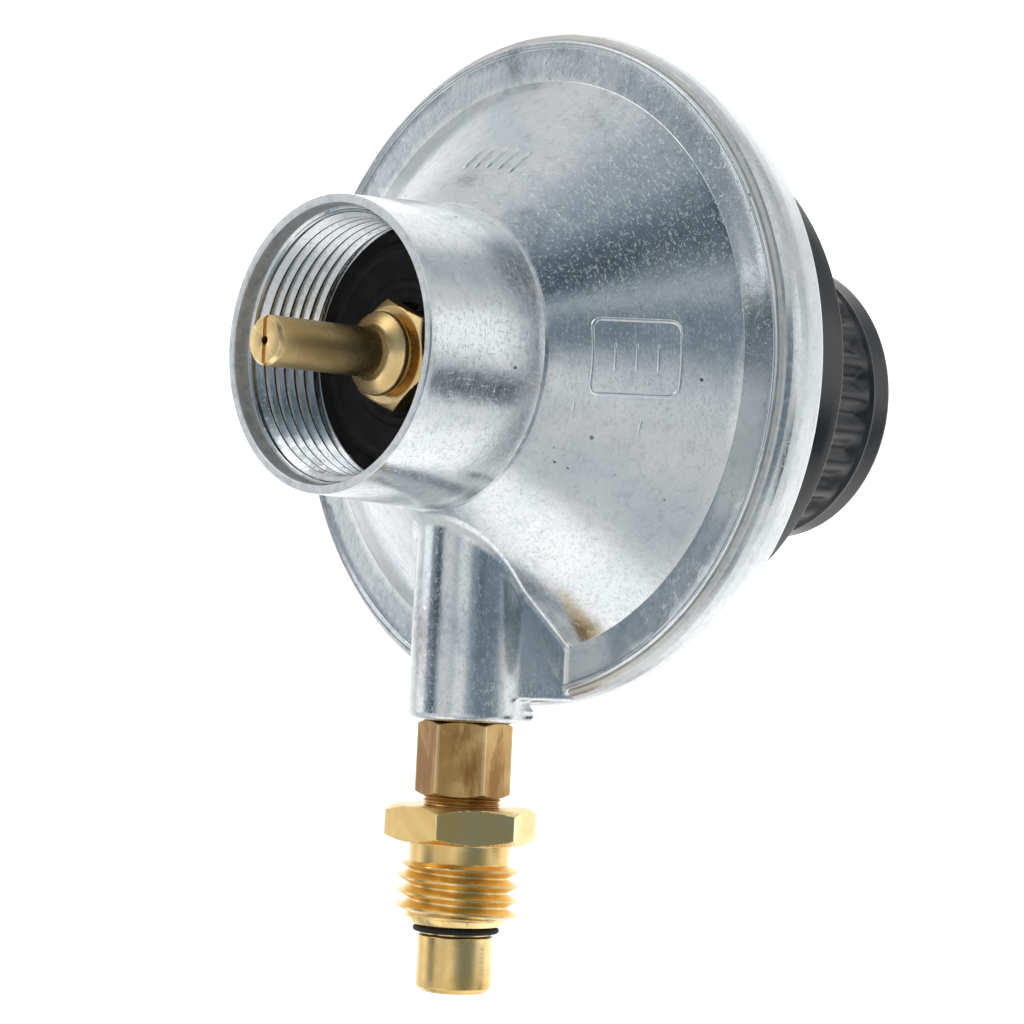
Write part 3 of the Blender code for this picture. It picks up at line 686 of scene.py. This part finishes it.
def body_distance(radius, station):
    """Distance to the casting's outer section near the boss, negative inside."""
    corners = [
        (0.0, 0.0),
        (COLLAR_R, 0.0),
        COLLAR_FOOT,
        CONE_START,
        CONE_END,
        (28.38, FLANGE_Y),
        (RIM_R, FLANGE_Y),
        (RIM_R, 40.0),
        (0.0, 40.0),
    ]
    best = np.full(radius.shape, 1e9, np.float32)
    inside = np.zeros(radius.shape, bool)
    for (ax, ay), (bx, by) in zip(corners, corners[1:] + corners[:1]):
        dx, dy = bx - ax, by - ay
        share = np.clip(((radius - ax) * dx + (station - ay) * dy) / (dx * dx + dy * dy), 0, 1)
        gap = (radius - ax - share * dx) ** 2 + (station - ay - share * dy) ** 2
        best = np.minimum(best, gap)
        if ay != by:
            spans = (ay > station) != (by > station)
            at = ax + (station - ay) * dx / dy
            inside ^= spans & (radius < at)
    distance = np.sqrt(best)
    return np.where(inside, -distance, distance)


def soft_union(a, b, width):
    """The lower of two distance fields, with a fillet about as wide as width where they meet."""
    share = np.clip(0.5 + 0.5 * (b - a) / width, 0, 1)
    return b + (a - b) * share - width * share * (1 - share)


def soft_cut(a, b, width):
    """The part of a that is inside b too, with a rounded edge."""
    return -soft_union(-a, -b, width)


def build_boss():
    """Outlet boss, gusset and gate stub, blended into the cone with cast fillets."""
    low = np.array((-10.0, 12.6, -35.6))
    high = np.array((10.0, 27.6, -10.5))
    axes = [np.arange(first, last, BOSS_STEP) for first, last in zip(low, high)]
    x, y, z = np.meshgrid(*axes, indexing="ij", sparse=True)
    body = body_distance(*np.broadcast_arrays(np.sqrt(x**2 + z**2), y))
    rho = np.sqrt(x**2 + (y - OUTLET_Y) ** 2)
    boss = soft_cut(rho - (BOSS_R + BOSS_DRAFT * (-20.0 - z)), BOSS_END - z, 0.8)
    shoulder = 0.83 * (z + 13.3) - 0.56 * (y - OUTLET_Y + 5.5)
    boss = soft_cut(boss, shoulder, 1.2)
    near, far, run = GUSSET_WIDTHS
    half = near + (y - OUTLET_Y) * (far - near) / run
    web = soft_cut((np.abs(x) - half) * 0.95, GUSSET_END - z, 0.3)
    web = soft_cut(web, (z + GUSSET_FALL * y - 0.5) * 0.72, 0.12)
    web = np.maximum(web, OUTLET_Y - 0.5 - y)
    gaps = [np.abs(a - at) - half_size for a, at, half_size in zip((x, y, z), GATE_AT, GATE_HALF)]
    gate = np.maximum(np.maximum(gaps[0], gaps[1]), gaps[2])
    gate = gate + 0.25 * np.sin(2.1 * x + 1.0) * np.cos(2.6 * z)
    lump = soft_union(boss, web, 0.35)
    lump = soft_union(lump, gate, 0.4)
    whole = soft_union(lump, body, 0.7)
    points, faces = surface_nets(whole.astype(np.float32), low, BOSS_STEP)
    away = body_distance(np.hypot(points[:, 0], points[:, 2]), points[:, 1])
    faces = faces[(away[faces] > OUT_OF_BODY).any(1)]
    used, index = np.unique(faces, return_inverse=True)
    faces = index.reshape(faces.shape).tolist()
    return piece("outlet_boss", points[used] * MM, faces, ZINC, "regulator", sharp=60.0)


def cone_point(slope, turn, lift):
    """A point above the cone, given how far down its slope it is and its turn in degrees."""
    start = np.array(CONE_START)
    end = np.array(CONE_END)
    along = (end - start) / np.linalg.norm(end - start)
    out = np.array((along[1], -along[0]))
    r, y = start + along * slope + out * lift
    t = math.radians(turn)
    return np.array((r * math.cos(t), y, r * math.sin(t)))


def bead(paths, width, height, point):
    """Low rounded beads that stand on a surface. paths run in the surface's own two measures."""
    points, faces = [], []
    wide = len(ARCH)
    for path in paths:
        path = np.array(path, float)
        first = len(points)
        last = len(path) - 1
        for k, here in enumerate(path):
            ahead = path[min(k + 1, last)] - path[max(k - 1, 0)]
            ahead /= np.linalg.norm(ahead)
            side = np.array((-ahead[1], ahead[0]))
            end = BEAD_END if k in (0, last) else 1.0
            for across, up in ARCH:
                at = here + side * across * width / 2 * end
                points.append(point(at[0], at[1], up * height * (end if up > 0 else 1.0)))
        for k in range(last):
            row = first + k * wide
            for j in range(wide):
                after = (j + 1) % wide
                faces.append((row + j, row + after, row + wide + after, row + wide + j))
        faces.append(tuple(first + j for j in range(wide)))
        faces.append(tuple(first + last * wide + j for j in reversed(range(wide))))
    return np.array(points) * MM, faces


def on_cone(middle_slope, middle_turn):
    """Measures in mm about a place on the cone: down the slope, and round it."""

    def point(u, v, lift):
        slope = middle_slope + u
        radius = CONE_START[0] + slope * CONE_SPREAD
        return cone_point(slope, middle_turn + math.degrees(v / radius), lift)

    return point


def line(u0, v0, u1, v1, parts=8):
    """Evenly spaced points from one place to another, with both ends."""
    return [(u0 + (u1 - u0) * k / parts, v0 + (v1 - v0) * k / parts) for k in range(parts + 1)]


def plate_outline():
    """A closed outline with rounded corners, in even steps."""
    half_u, half_v, corner = 3.2, 2.6, 0.9
    outline = []
    for turn, (u, v) in enumerate(((1, 1), (-1, 1), (-1, -1), (1, -1))):
        for k in range(7):
            a = math.radians(90 * turn + 15 * k)
            outline.append((u * half_u + corner * math.cos(a), v * half_v + corner * math.sin(a)))
    outline.append(outline[0])
    even = []
    for p, q in zip(outline, outline[1:]):
        parts = max(1, int(math.hypot(q[0] - p[0], q[1] - p[1]) / 0.5))
        even += line(*p, *q, parts)[:-1]
    even.append(outline[-1])
    return even


def build_marks():
    """Plain raised marks that say nothing: a plate outline with bars in it, and two sets of bars."""
    plate_place = on_cone(8.2, 0.0)
    bars = [line(u, -1.3, u, 1.3) for u in (-2.0, 0.0, 2.0)]
    tally = [line(-1.5, v, 1.5, v - 0.5) for v in (-3.2, -1.6, 0.0, 1.6, 3.2)]
    foot = [line(u, -1.0, u, 1.0, 4) for u in (-3.2, 3.2)]
    marks = (
        ("plate", [plate_outline()], 0.42, 0.10, plate_place),
        ("bars", bars, 0.42, 0.10, plate_place),
        ("tally", tally, 0.5, 0.16, on_cone(6.6, 84.0)),
        ("foot", foot, 0.42, 0.10, on_cone(6.2, -18.0)),
    )
    made = []
    for name, paths, width, height, place in marks:
        points, faces = bead(paths, width, height, place)
        made.append(piece("cast_mark_" + name, points, faces, ZINC, "regulator", sharp=70.0))
    return made


def build_ejector_marks():
    """Faint round ejector witness marks on the flange."""
    made = []
    rows = rows_of([(0.0, EJECTOR_Y), (EJECTOR_R, EJECTOR_Y)], 48)
    for k, place in enumerate(EJECTOR_PLACES):
        name = f"ejector_mark_{k}"
        made.append(turned(name, rows, ZINC, "regulator", centre=place, closed=False))
    return made


def build_bonnet():
    """Bonnet whose front edge is rolled, unevenly, over the body's flange."""
    steps = 360
    theta = np.linspace(0, TURN, steps + 1)
    ragged = sum(
        math.sin(1.7 * k) * np.sin(k * theta + 2.3 * k) / (6 + 0.35 * k) for k in range(5, 70, 3)
    )
    section = rounded(
        [
            (32.18, 30.2, 0.0),
            (32.18, 26.62, 0.03),
            (32.42, 26.52, 0.05),
            (32.60, 26.86, 0.08),
            (32.88, 26.98, 0.15),
            (33.10, 27.60, 0.6),
            (33.20, 28.5, 1.4),
            (33.02, 29.9, 2.2),
            (32.72, 30.9, 3.0),
            (31.98, 33.1, 0.5),
            (31.82, 33.45, 0.10),
            (31.3, 33.55, 0.1),
            (22.4, 33.55, 0.1),
            (22.4, 42.6, 0.4),
            (4.1, 42.6, 0.1),
            (4.1, 41.0, 0.0),
            (20.8, 41.0, 0.0),
            (20.8, 33.6, 0.0),
            (26.0, 31.2, 0.0),
            (26.6, 30.2, 0.0),
        ]
    )
    rows = []
    for r, y in dense(section, 0.9):
        edge = max(0.0, 1.0 - (y - LIP_Y)) if r > LIP_INSIDE else 0.0
        rows.append((r - 0.05 * edge * (1 + ragged), y + 0.10 * edge * (1 + ragged)))
    return turned("bonnet_shell", rows, RIM, "regulator")


def build_cover():
    """The rear cover: a cup with a rounded edge and a hole for the screw."""
    section = rounded(
        [
            (23.7, 43.9, 0.0),
            (23.8, 33.9, 0.0),
            (25.1, 33.9, 0.3),
            (24.82, 45.1, 0.28),
            (9.0, 45.1, 0.0),
            (5.0, 45.1, 0.15),
            (5.0, 43.9, 0.0),
        ]
    )
    rows = rows_of(dense(section, 1.2), 240)
    return turned("cover_cup", rows, COVER_PLASTIC, "regulator", centre=(0, COVER_RISE))


def build_knob():
    """Ribbed skirt that swells into a smooth rolled rim."""
    steps = RIBS * 16
    theta = np.linspace(0, TURN, steps + 1)
    wave = 0.5 + 0.5 * np.cos(RIBS * theta)
    valley = (1.0 - wave) ** 1.2
    section = rounded(
        [
            (12.0, 61.4, 0.0),
            (12.0, 45.6, 0.2),
            (14.16, 45.6, 0.4),
            (14.22, 62.3, 0.15),
            (14.53, 62.7, 0.14),
            (14.40, 63.0, 0.20),
            (14.50, 65.0, 0.3),
            (14.25, 65.5, 0.3),
            (10.5, 65.5, 0.2),
            (10.5, 63.7, 0.0),
            (3.6, 63.7, 0.1),
            (3.6, 60.5, 0.0),
            (1.8, 60.5, 0.0),
            (1.8, 58.5, 0.0),
            (3.3, 58.5, 0.0),
            (3.3, 45.6, 0.1),
            (5.2, 45.6, 0.1),
            (5.2, 61.4, 0.0),
        ]
    )
    rows = []
    for r, y in dense(section, 0.35):
        radius = np.full(steps + 1, r)
        if r > SKIRT_INSIDE and y < RIB_TOP:
            depth = RIB_DEPTH * float(smooth_step(np.array((RIB_TOP - y) / RIB_FADE)))
            radius = radius - depth * valley
        rows.append((radius, np.full(steps + 1, y)))
    return turned("knob_skirt", rows, KNOB_PLASTIC, "knob_group", centre=(0, KNOB_DROP), sharp=50.0)


def box(name, size, middle, turn=0.0, drop=0.0, bevel=0.0):
    """A box turned about the regulator's axis and then moved down, with bevelled edges."""
    mesh = bpy.data.meshes.new(name)
    work = bmesh.new()
    bmesh.ops.create_cube(work, size=1.0)
    bmesh.ops.scale(work, verts=work.verts[:], vec=[side * MM for side in size])
    bmesh.ops.translate(work, verts=work.verts[:], vec=[place * MM for place in middle])
    if turn:
        matrix = Matrix.Translation((0, 0, drop * MM)) @ Matrix.Rotation(math.radians(turn), 4, "Y")
        bmesh.ops.transform(work, matrix=matrix, verts=work.verts[:])
    if bevel:
        bmesh.ops.bevel(work, geom=work.edges[:], offset=bevel * MM, segments=2, affect="EDGES")
    work.to_mesh(mesh)
    work.free()
    obj = bpy.data.objects.new(name, mesh)
    bpy.context.scene.collection.objects.link(obj)
    return obj


def cut_away(obj, cutter):
    """Take a cutter's shape out of a piece, and remove the cutter."""
    modifier = obj.modifiers.new("cut", "BOOLEAN")
    modifier.operation = "DIFFERENCE"
    modifier.solver = "EXACT"
    modifier.object = cutter
    bpy.context.view_layer.update()
    graph = bpy.context.evaluated_depsgraph_get()
    mesh = bpy.data.meshes.new_from_object(obj.evaluated_get(graph))
    obj.modifiers.clear()
    obj.data = mesh
    mesh.set_sharp_from_angle(angle=math.radians(35))
    bpy.data.objects.remove(cutter, do_unlink=True)


def build_knob_web():
    """Stop web inside the knob, as in the frame."""
    web = box("knob_stop_web", (2.0, 15.4, 6.8), (0, 53.7, -8.6), 30.0, KNOB_DROP, 0.15)
    web.data.materials.append(PLASTIC)
    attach(web, "knob_group")
    return web


def build_cap():
    """The disc that closes the knob's end."""
    section = rounded(
        [(0.0, 64.0, 0.0), (10.2, 64.0, 0.2), (10.2, 65.4, 0.3), (9.2, 65.4, 0.3), (0.0, 65.45, 0.0)]
    )
    rows = rows_of(dense(section, 1.0), 180)
    return turned("knob_end_cap", rows, PLASTIC, "knob_group", centre=(0, KNOB_DROP))


def build_gasket():
    """The washer at the bottom of the collar, with two raised sealing rings."""
    back, face, ridge = 12.0, 9.8, 9.55
    corners = [(4.8, back, 0.0), (4.8, face, 0.1)]
    for inner in (5.9, 9.6):
        corners += [(inner, face, 0.1), (inner + 0.3, ridge, 0.1)]
        corners += [(inner + 0.9, ridge, 0.1), (inner + 1.2, face, 0.1)]
    corners += [(11.95, face, 0.2), (11.95, back, 0.0)]
    return turned("inlet_washer", rows_of(rounded(corners), 240), RUBBER, "regulator")


def build_nipple():
    """The brass hexagon in the collar, with a round flange and a tapering throat."""
    steps = 144
    inner = [(3.9, 17.4), (2.9, 17.4), (2.9, 11.0), (1.2, 11.0), (1.2, 9.6), (2.6, 9.6)]
    ring = rounded(
        [
            (2.6, 9.6, 0.0),
            (2.36, 5.0, 0.0),
            (2.62, 5.55, 0.5),
            (3.35, 5.98, 0.5),
            (3.98, 6.35, 0.25),
            (4.02, 7.0, 0.25),
            (3.35, 7.2, 0.1),
            (3.35, 7.7, 0.05),
            (4.4, 7.7, 0.0),
        ]
    )
    rows = rows_of(inner, steps) + rows_of(ring, steps)
    rows += hex_rows(INLET_HEX, 7.7, 9.25, steps, True, False)
    rows += rows_of([(3.9, 9.25)], steps)
    shape = {"centre": (0, INLET_DROP), "spin": math.radians(INLET_HEX_TURN), "sharp": 28.0}
    return turned("inlet_hexagon", rows, PROBE_BRASS, "regulator", **shape)


def build_probe():
    """Slotted tube with a chamfered tip."""
    section = rounded(
        [
            (0.43, 9.3, 0.0),
            (0.43, PROBE_TIP, 0.05),
            (2.02, PROBE_TIP, 0.06),
            (2.33, -7.22, 0.10),
            (2.35, -6.0, 0.0),
            (2.35, 9.3, 0.0),
        ]
    )
    rows = rows_of(dense(section, 1.0), 120)
    tube = turned("probe_tube", rows, PROBE_BRASS, "regulator", centre=(0, INLET_DROP))
    cut_away(tube, box("probe_slot_cutter", (0.50, 0.9, 8.0), (0, PROBE_TIP, INLET_DROP)))
    return tube


def build_outlet_nipple():
    """The small tarnished hexagon under the boss, with a short, finely threaded neck."""
    steps = 144
    top = rounded(
        [(1.6, -48.0, 0.0), (1.6, -29.0, 0.1), (3.0, -29.0, 0.2), (3.0, -34.75, 0.0), (3.85, -34.75, 0.0)]
    )
    rows = rows_of(top, steps)
    rows += hex_rows(SMALL_HEX, -34.75, -42.0, steps, True, True)
    rows += thread_rows(-42.0, -42.9, 0.42, 3.55, 3.78, (3.6, 3.6), steps, 6, 0.2, 0.1)
    rows += rows_of([(3.0, -42.9), (3.0, -48.0)], steps)
    shape = {"centre": (0, OUTLET_Y), "spin": math.radians(SMALL_HEX_TURN), "sharp": 28.0}
    return turned("outlet_small_hexagon", rows, TARNISHED, "regulator", "Z", **shape)


def build_outlet_fitting():
    """The large hexagon with its neck, true thread, ring groove and spigot, in one turned skin."""
    steps = 240
    rows = rows_of([(3.3, -48.4), (3.3, -42.95), (6.2, -42.95)], steps)
    rows += hex_rows(BIG_HEX, -42.95, -46.4, steps, True, True, 9)
    neck = rounded([(6.3, -46.4, 0.0), (4.85, -46.4, 0.25), (4.85, -48.2, 0.1)])
    rows += rows_of(neck, steps)
    rows += thread_rows(-48.3, -53.75, 1.40, 4.88, 5.85, (4.85, 4.75), steps, 16, 0.14, 0.35)
    tail = rounded(
        [
            (4.75, -53.75, 0.0),
            (4.25, -54.35, 0.1),
            (3.1, -54.35, 0.1),
            (3.1, -55.35, 0.1),
            (3.63, -55.35, 0.15),
            (3.63, -60.3, 0.15),
            (3.05, -60.8, 0.15),
            (2.2, -60.8, 0.1),
            (2.2, -56.0, 0.0),
            (1.6, -56.0, 0.0),
            (1.6, -48.4, 0.0),
        ]
    )
    rows += rows_of(dense(tail, 1.0), steps)
    shape = {"centre": (0, OUTLET_Y), "spin": math.radians(BIG_HEX_TURN), "sharp": 28.0}
    return turned("outlet_thread_fitting", rows, OUTLET_BRASS, "regulator", "Z", **shape)


def build_o_ring():
    """The ring between the thread and the spigot."""
    angles = np.linspace(0, TURN, 25)[:-1]
    r, half_wide, at, half_high = O_RING
    points = [(r + half_wide * math.cos(a), at + half_high * math.sin(a)) for a in angles]
    rows = rows_of(points, 144)
    return turned("outlet_ring", rows, RUBBER, "regulator", "Z", (0, OUTLET_Y), sharp=80.0)


# ----------------------------------------------------------------------------------------------
# Studio
# ----------------------------------------------------------------------------------------------

FAR = 5.0  # metres to the edge of the floor and to the wall

# The key light's place, aim and sides in metres, and its power in watts
KEY_AT = (-0.4, -0.7, 0.7)
KEY_AIM = (0, 0.02, 0)
KEY_SIZE = (0.6, 0.6)
KEY_POWER = 1.4


def stage_mesh(name, points, faces, glow, place=(0, 0, 0)):
    """A pale, faintly glowing mesh of the studio, which only the camera sees."""
    mesh = bpy.data.meshes.new(name)
    mesh.from_pydata(points, [], faces)
    obj = bpy.data.objects.new(name, mesh)
    obj.location = place
    bpy.context.scene.collection.objects.link(obj)
    paint = bpy.data.materials.new(name + "_white")
    paint.use_nodes = True
    shader = paint.node_tree.nodes["Principled BSDF"]
    shader.inputs["Base Color"].default_value = (0.85, 0.85, 0.85, 1)
    shader.inputs["Roughness"].default_value = 0.9
    shader.inputs["Emission Color"].default_value = (1, 1, 1, 1)
    shader.inputs["Emission Strength"].default_value = glow
    mesh.materials.append(paint)
    obj.visible_glossy = False
    obj.visible_diffuse = False
    obj.visible_shadow = False


def build_floor():
    """Pale floor well below the part, and a pale wall all round it."""
    square = [(-FAR, -FAR, 0), (FAR, -FAR, 0), (FAR, FAR, 0), (-FAR, FAR, 0)]
    stage_mesh("floor", square, [(0, 1, 2, 3)], 0.7, (0, 0, -0.26))
    rings, around = 12, 48
    points = []
    faces = []
    for k in range(rings + 1):
        tilt = math.pi * (k / rings - 0.5)
        for j in range(around):
            turn = TURN * j / around
            flat = FAR * math.cos(tilt)
            points.append((flat * math.cos(turn), flat * math.sin(turn), FAR * math.sin(tilt)))
            here, after = k * around + j, k * around + (j + 1) % around
            if k < rings:
                faces.append((here, after, after + around, here + around))
    stage_mesh("backdrop", points, faces, 1.2)


def area_light(name, at, aim, size, power):
    data = bpy.data.lights.new(name, "AREA")
    data.shape = "RECTANGLE"
    data.size, data.size_y = size
    data.energy = power
    light = bpy.data.objects.new(name, data)
    light.location = at
    light.rotation_euler = (Vector(aim) - Vector(at)).to_track_quat("-Z", "Y").to_euler()
    bpy.context.scene.collection.objects.link(light)


# The light tent's own strength, and what soft round panels add to it: bearing from +Y towards +X
# and height in degrees, the angle that each one covers fully, the angle where it has faded out,
# and its strength. DARKEST is the least that is left where panels take light away.
TENT = 0.76
DARKEST = 0.04
PANELS = (
    (-48, -6, 12, 60, 0.52),
    (-2, -14, 8, 40, 0.40),
    (-30, 44, 8, 34, 0.50),
    (43, 10, 5, 20, 0.60),
    (10, -46, 6, 26, 0.45),
    (-24, -40, 3, 14, -0.34),
    (24, 40, 4, 16, -0.18),
    (62, -42, 6, 30, 0.30),
    (-156, -60, 8, 26, 0.62),
    (-120, 2, 8, 15, 0.50),
    (-146, 2, 9, 16, -0.42),
    (108, 42, 6, 36, 0.22),
    (0, -78, 10, 40, 0.30),
    (142, 22, 12, 42, -0.47),
    (136, 27, 1, 7, 0.30),
    (148, 27, 1, 7, 0.26),
    (42, -17, 4, 13, -0.95),
    (96, -6, 10, 36, -0.48),
    (150, -3, 6, 17, 0.52),
    (-156, -3, 3, 12, -0.34),
    (20, -4, 4, 14, 0.15),
    (160, 54, 8, 34, -0.30),
    (112, -52, 8, 34, -0.34),
    (-92, -60, 6, 30, -0.30),
)

# Weak light is bluer: the colours, and the strengths where the blue is full and where it's gone
TENT_COLOUR = (0.985, 0.99, 1.0)
SHADOW_COLOUR = (0.52, 0.77, 1.0)
SHADOW_FULL = 0.15
SHADOW_GONE = 0.75


def build_world():
    """Soft surroundings that change slowly with direction, as the walls of a light tent do."""
    world = bpy.data.worlds.new("studio")
    bpy.context.scene.world = world
    world.use_nodes = True
    tree = world.node_tree
    new, join = tree.nodes.new, tree.links.new
    back = tree.nodes["Background"]
    place = new("ShaderNodeTexCoord")
    total = None
    for bearing, height, full, faded, strength in PANELS:
        b, h = math.radians(bearing), math.radians(height)
        dot = new("ShaderNodeVectorMath")
        dot.operation = "DOT_PRODUCT"
        join(place.outputs["Generated"], dot.inputs[0])
        towards = (math.sin(b) * math.cos(h), math.cos(b) * math.cos(h), math.sin(h))
        dot.inputs[1].default_value = towards
        ramp = new("ShaderNodeMapRange")
        ramp.interpolation_type = "SMOOTHSTEP"
        join(dot.outputs["Value"], ramp.inputs["Value"])
        ramp.inputs["From Min"].default_value = math.cos(math.radians(faded))
        ramp.inputs["From Max"].default_value = math.cos(math.radians(full))
        ramp.inputs["To Max"].default_value = strength
        add = new("ShaderNodeMath")
        add.operation = "ADD"
        join(ramp.outputs["Result"], add.inputs[0])
        if total is None:
            add.inputs[1].default_value = TENT
        else:
            join(total, add.inputs[1])
        total = add.outputs["Value"]
    least = new("ShaderNodeMath")
    least.operation = "MAXIMUM"
    join(total, least.inputs[0])
    least.inputs[1].default_value = DARKEST
    join(least.outputs["Value"], back.inputs["Strength"])
    tint = new("ShaderNodeMix")
    tint.data_type = "RGBA"
    share = new("ShaderNodeMapRange")
    join(least.outputs["Value"], share.inputs["Value"])
    share.inputs["From Min"].default_value = SHADOW_FULL
    share.inputs["From Max"].default_value = SHADOW_GONE
    join(share.outputs["Result"], tint.inputs["Factor"])
    tint.inputs[6].default_value = (*SHADOW_COLOUR, 1)
    tint.inputs[7].default_value = (*TENT_COLOUR, 1)
    join(tint.outputs[2], back.inputs["Color"])


def build_camera():
    data = bpy.data.cameras.new("camera")
    data.lens = LENS
    data.sensor_width = SENSOR
    data.clip_start = 0.01
    camera = bpy.data.objects.new("camera", data)
    turn, tilt = math.radians(AZIMUTH), math.radians(ELEVATION)
    level = math.cos(tilt)
    forward = Vector((-math.sin(turn) * level, math.cos(turn) * level, -math.sin(tilt)))
    look = forward.to_track_quat("-Z", "Y").to_matrix().to_4x4()
    roll = Matrix.Rotation(math.radians(ROLL), 4, "Z")
    camera.matrix_world = Matrix.Translation(Vector(CAMERA_AT) * MM) @ look @ roll
    bpy.context.scene.collection.objects.link(camera)
    bpy.context.scene.camera = camera


def build_pieces():
    """Build every piece, listed under a slot name with the CAD nodes that it stands for, and hide those
    nodes.
    """
    casting = [(build_body(), ("body_casting",)), (build_boss(), ("body_casting",))]
    marks = [(mark, ()) for mark in build_marks() + build_ejector_marks()]
    slots = {
        "cast_zinc": casting + marks,
        "bonnet_zinc": [(build_bonnet(), ("bonnet",))],
        "black_plastic": [
            (build_cover(), ("rear_cover",)),
            (build_knob(), ("knob",)),
            (build_knob_web(), ()),
            (build_cap(), ("knob_cap",)),
        ],
        "black_rubber": [(build_gasket(), ("inlet_gasket",)), (build_o_ring(), ("outlet_o_ring",))],
        "probe_brass": [(build_nipple(), ("inlet_nipple",)), (build_probe(), ("probe",))],
        "tarnished_brass": [(build_outlet_nipple(), ("outlet_nipple",))],
        "outlet_brass": [(build_outlet_fitting(), ("outlet_fitting",))],
    }
    for slot, made in slots.items():
        for obj, nodes in made:
            if nodes:
                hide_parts(*nodes)


build_camera()
build_pieces()
paint_carried()
build_floor()
build_world()
area_light("key", KEY_AT, KEY_AIM, KEY_SIZE, KEY_POWER)
bpy.context.scene.view_settings.view_transform = "Standard"
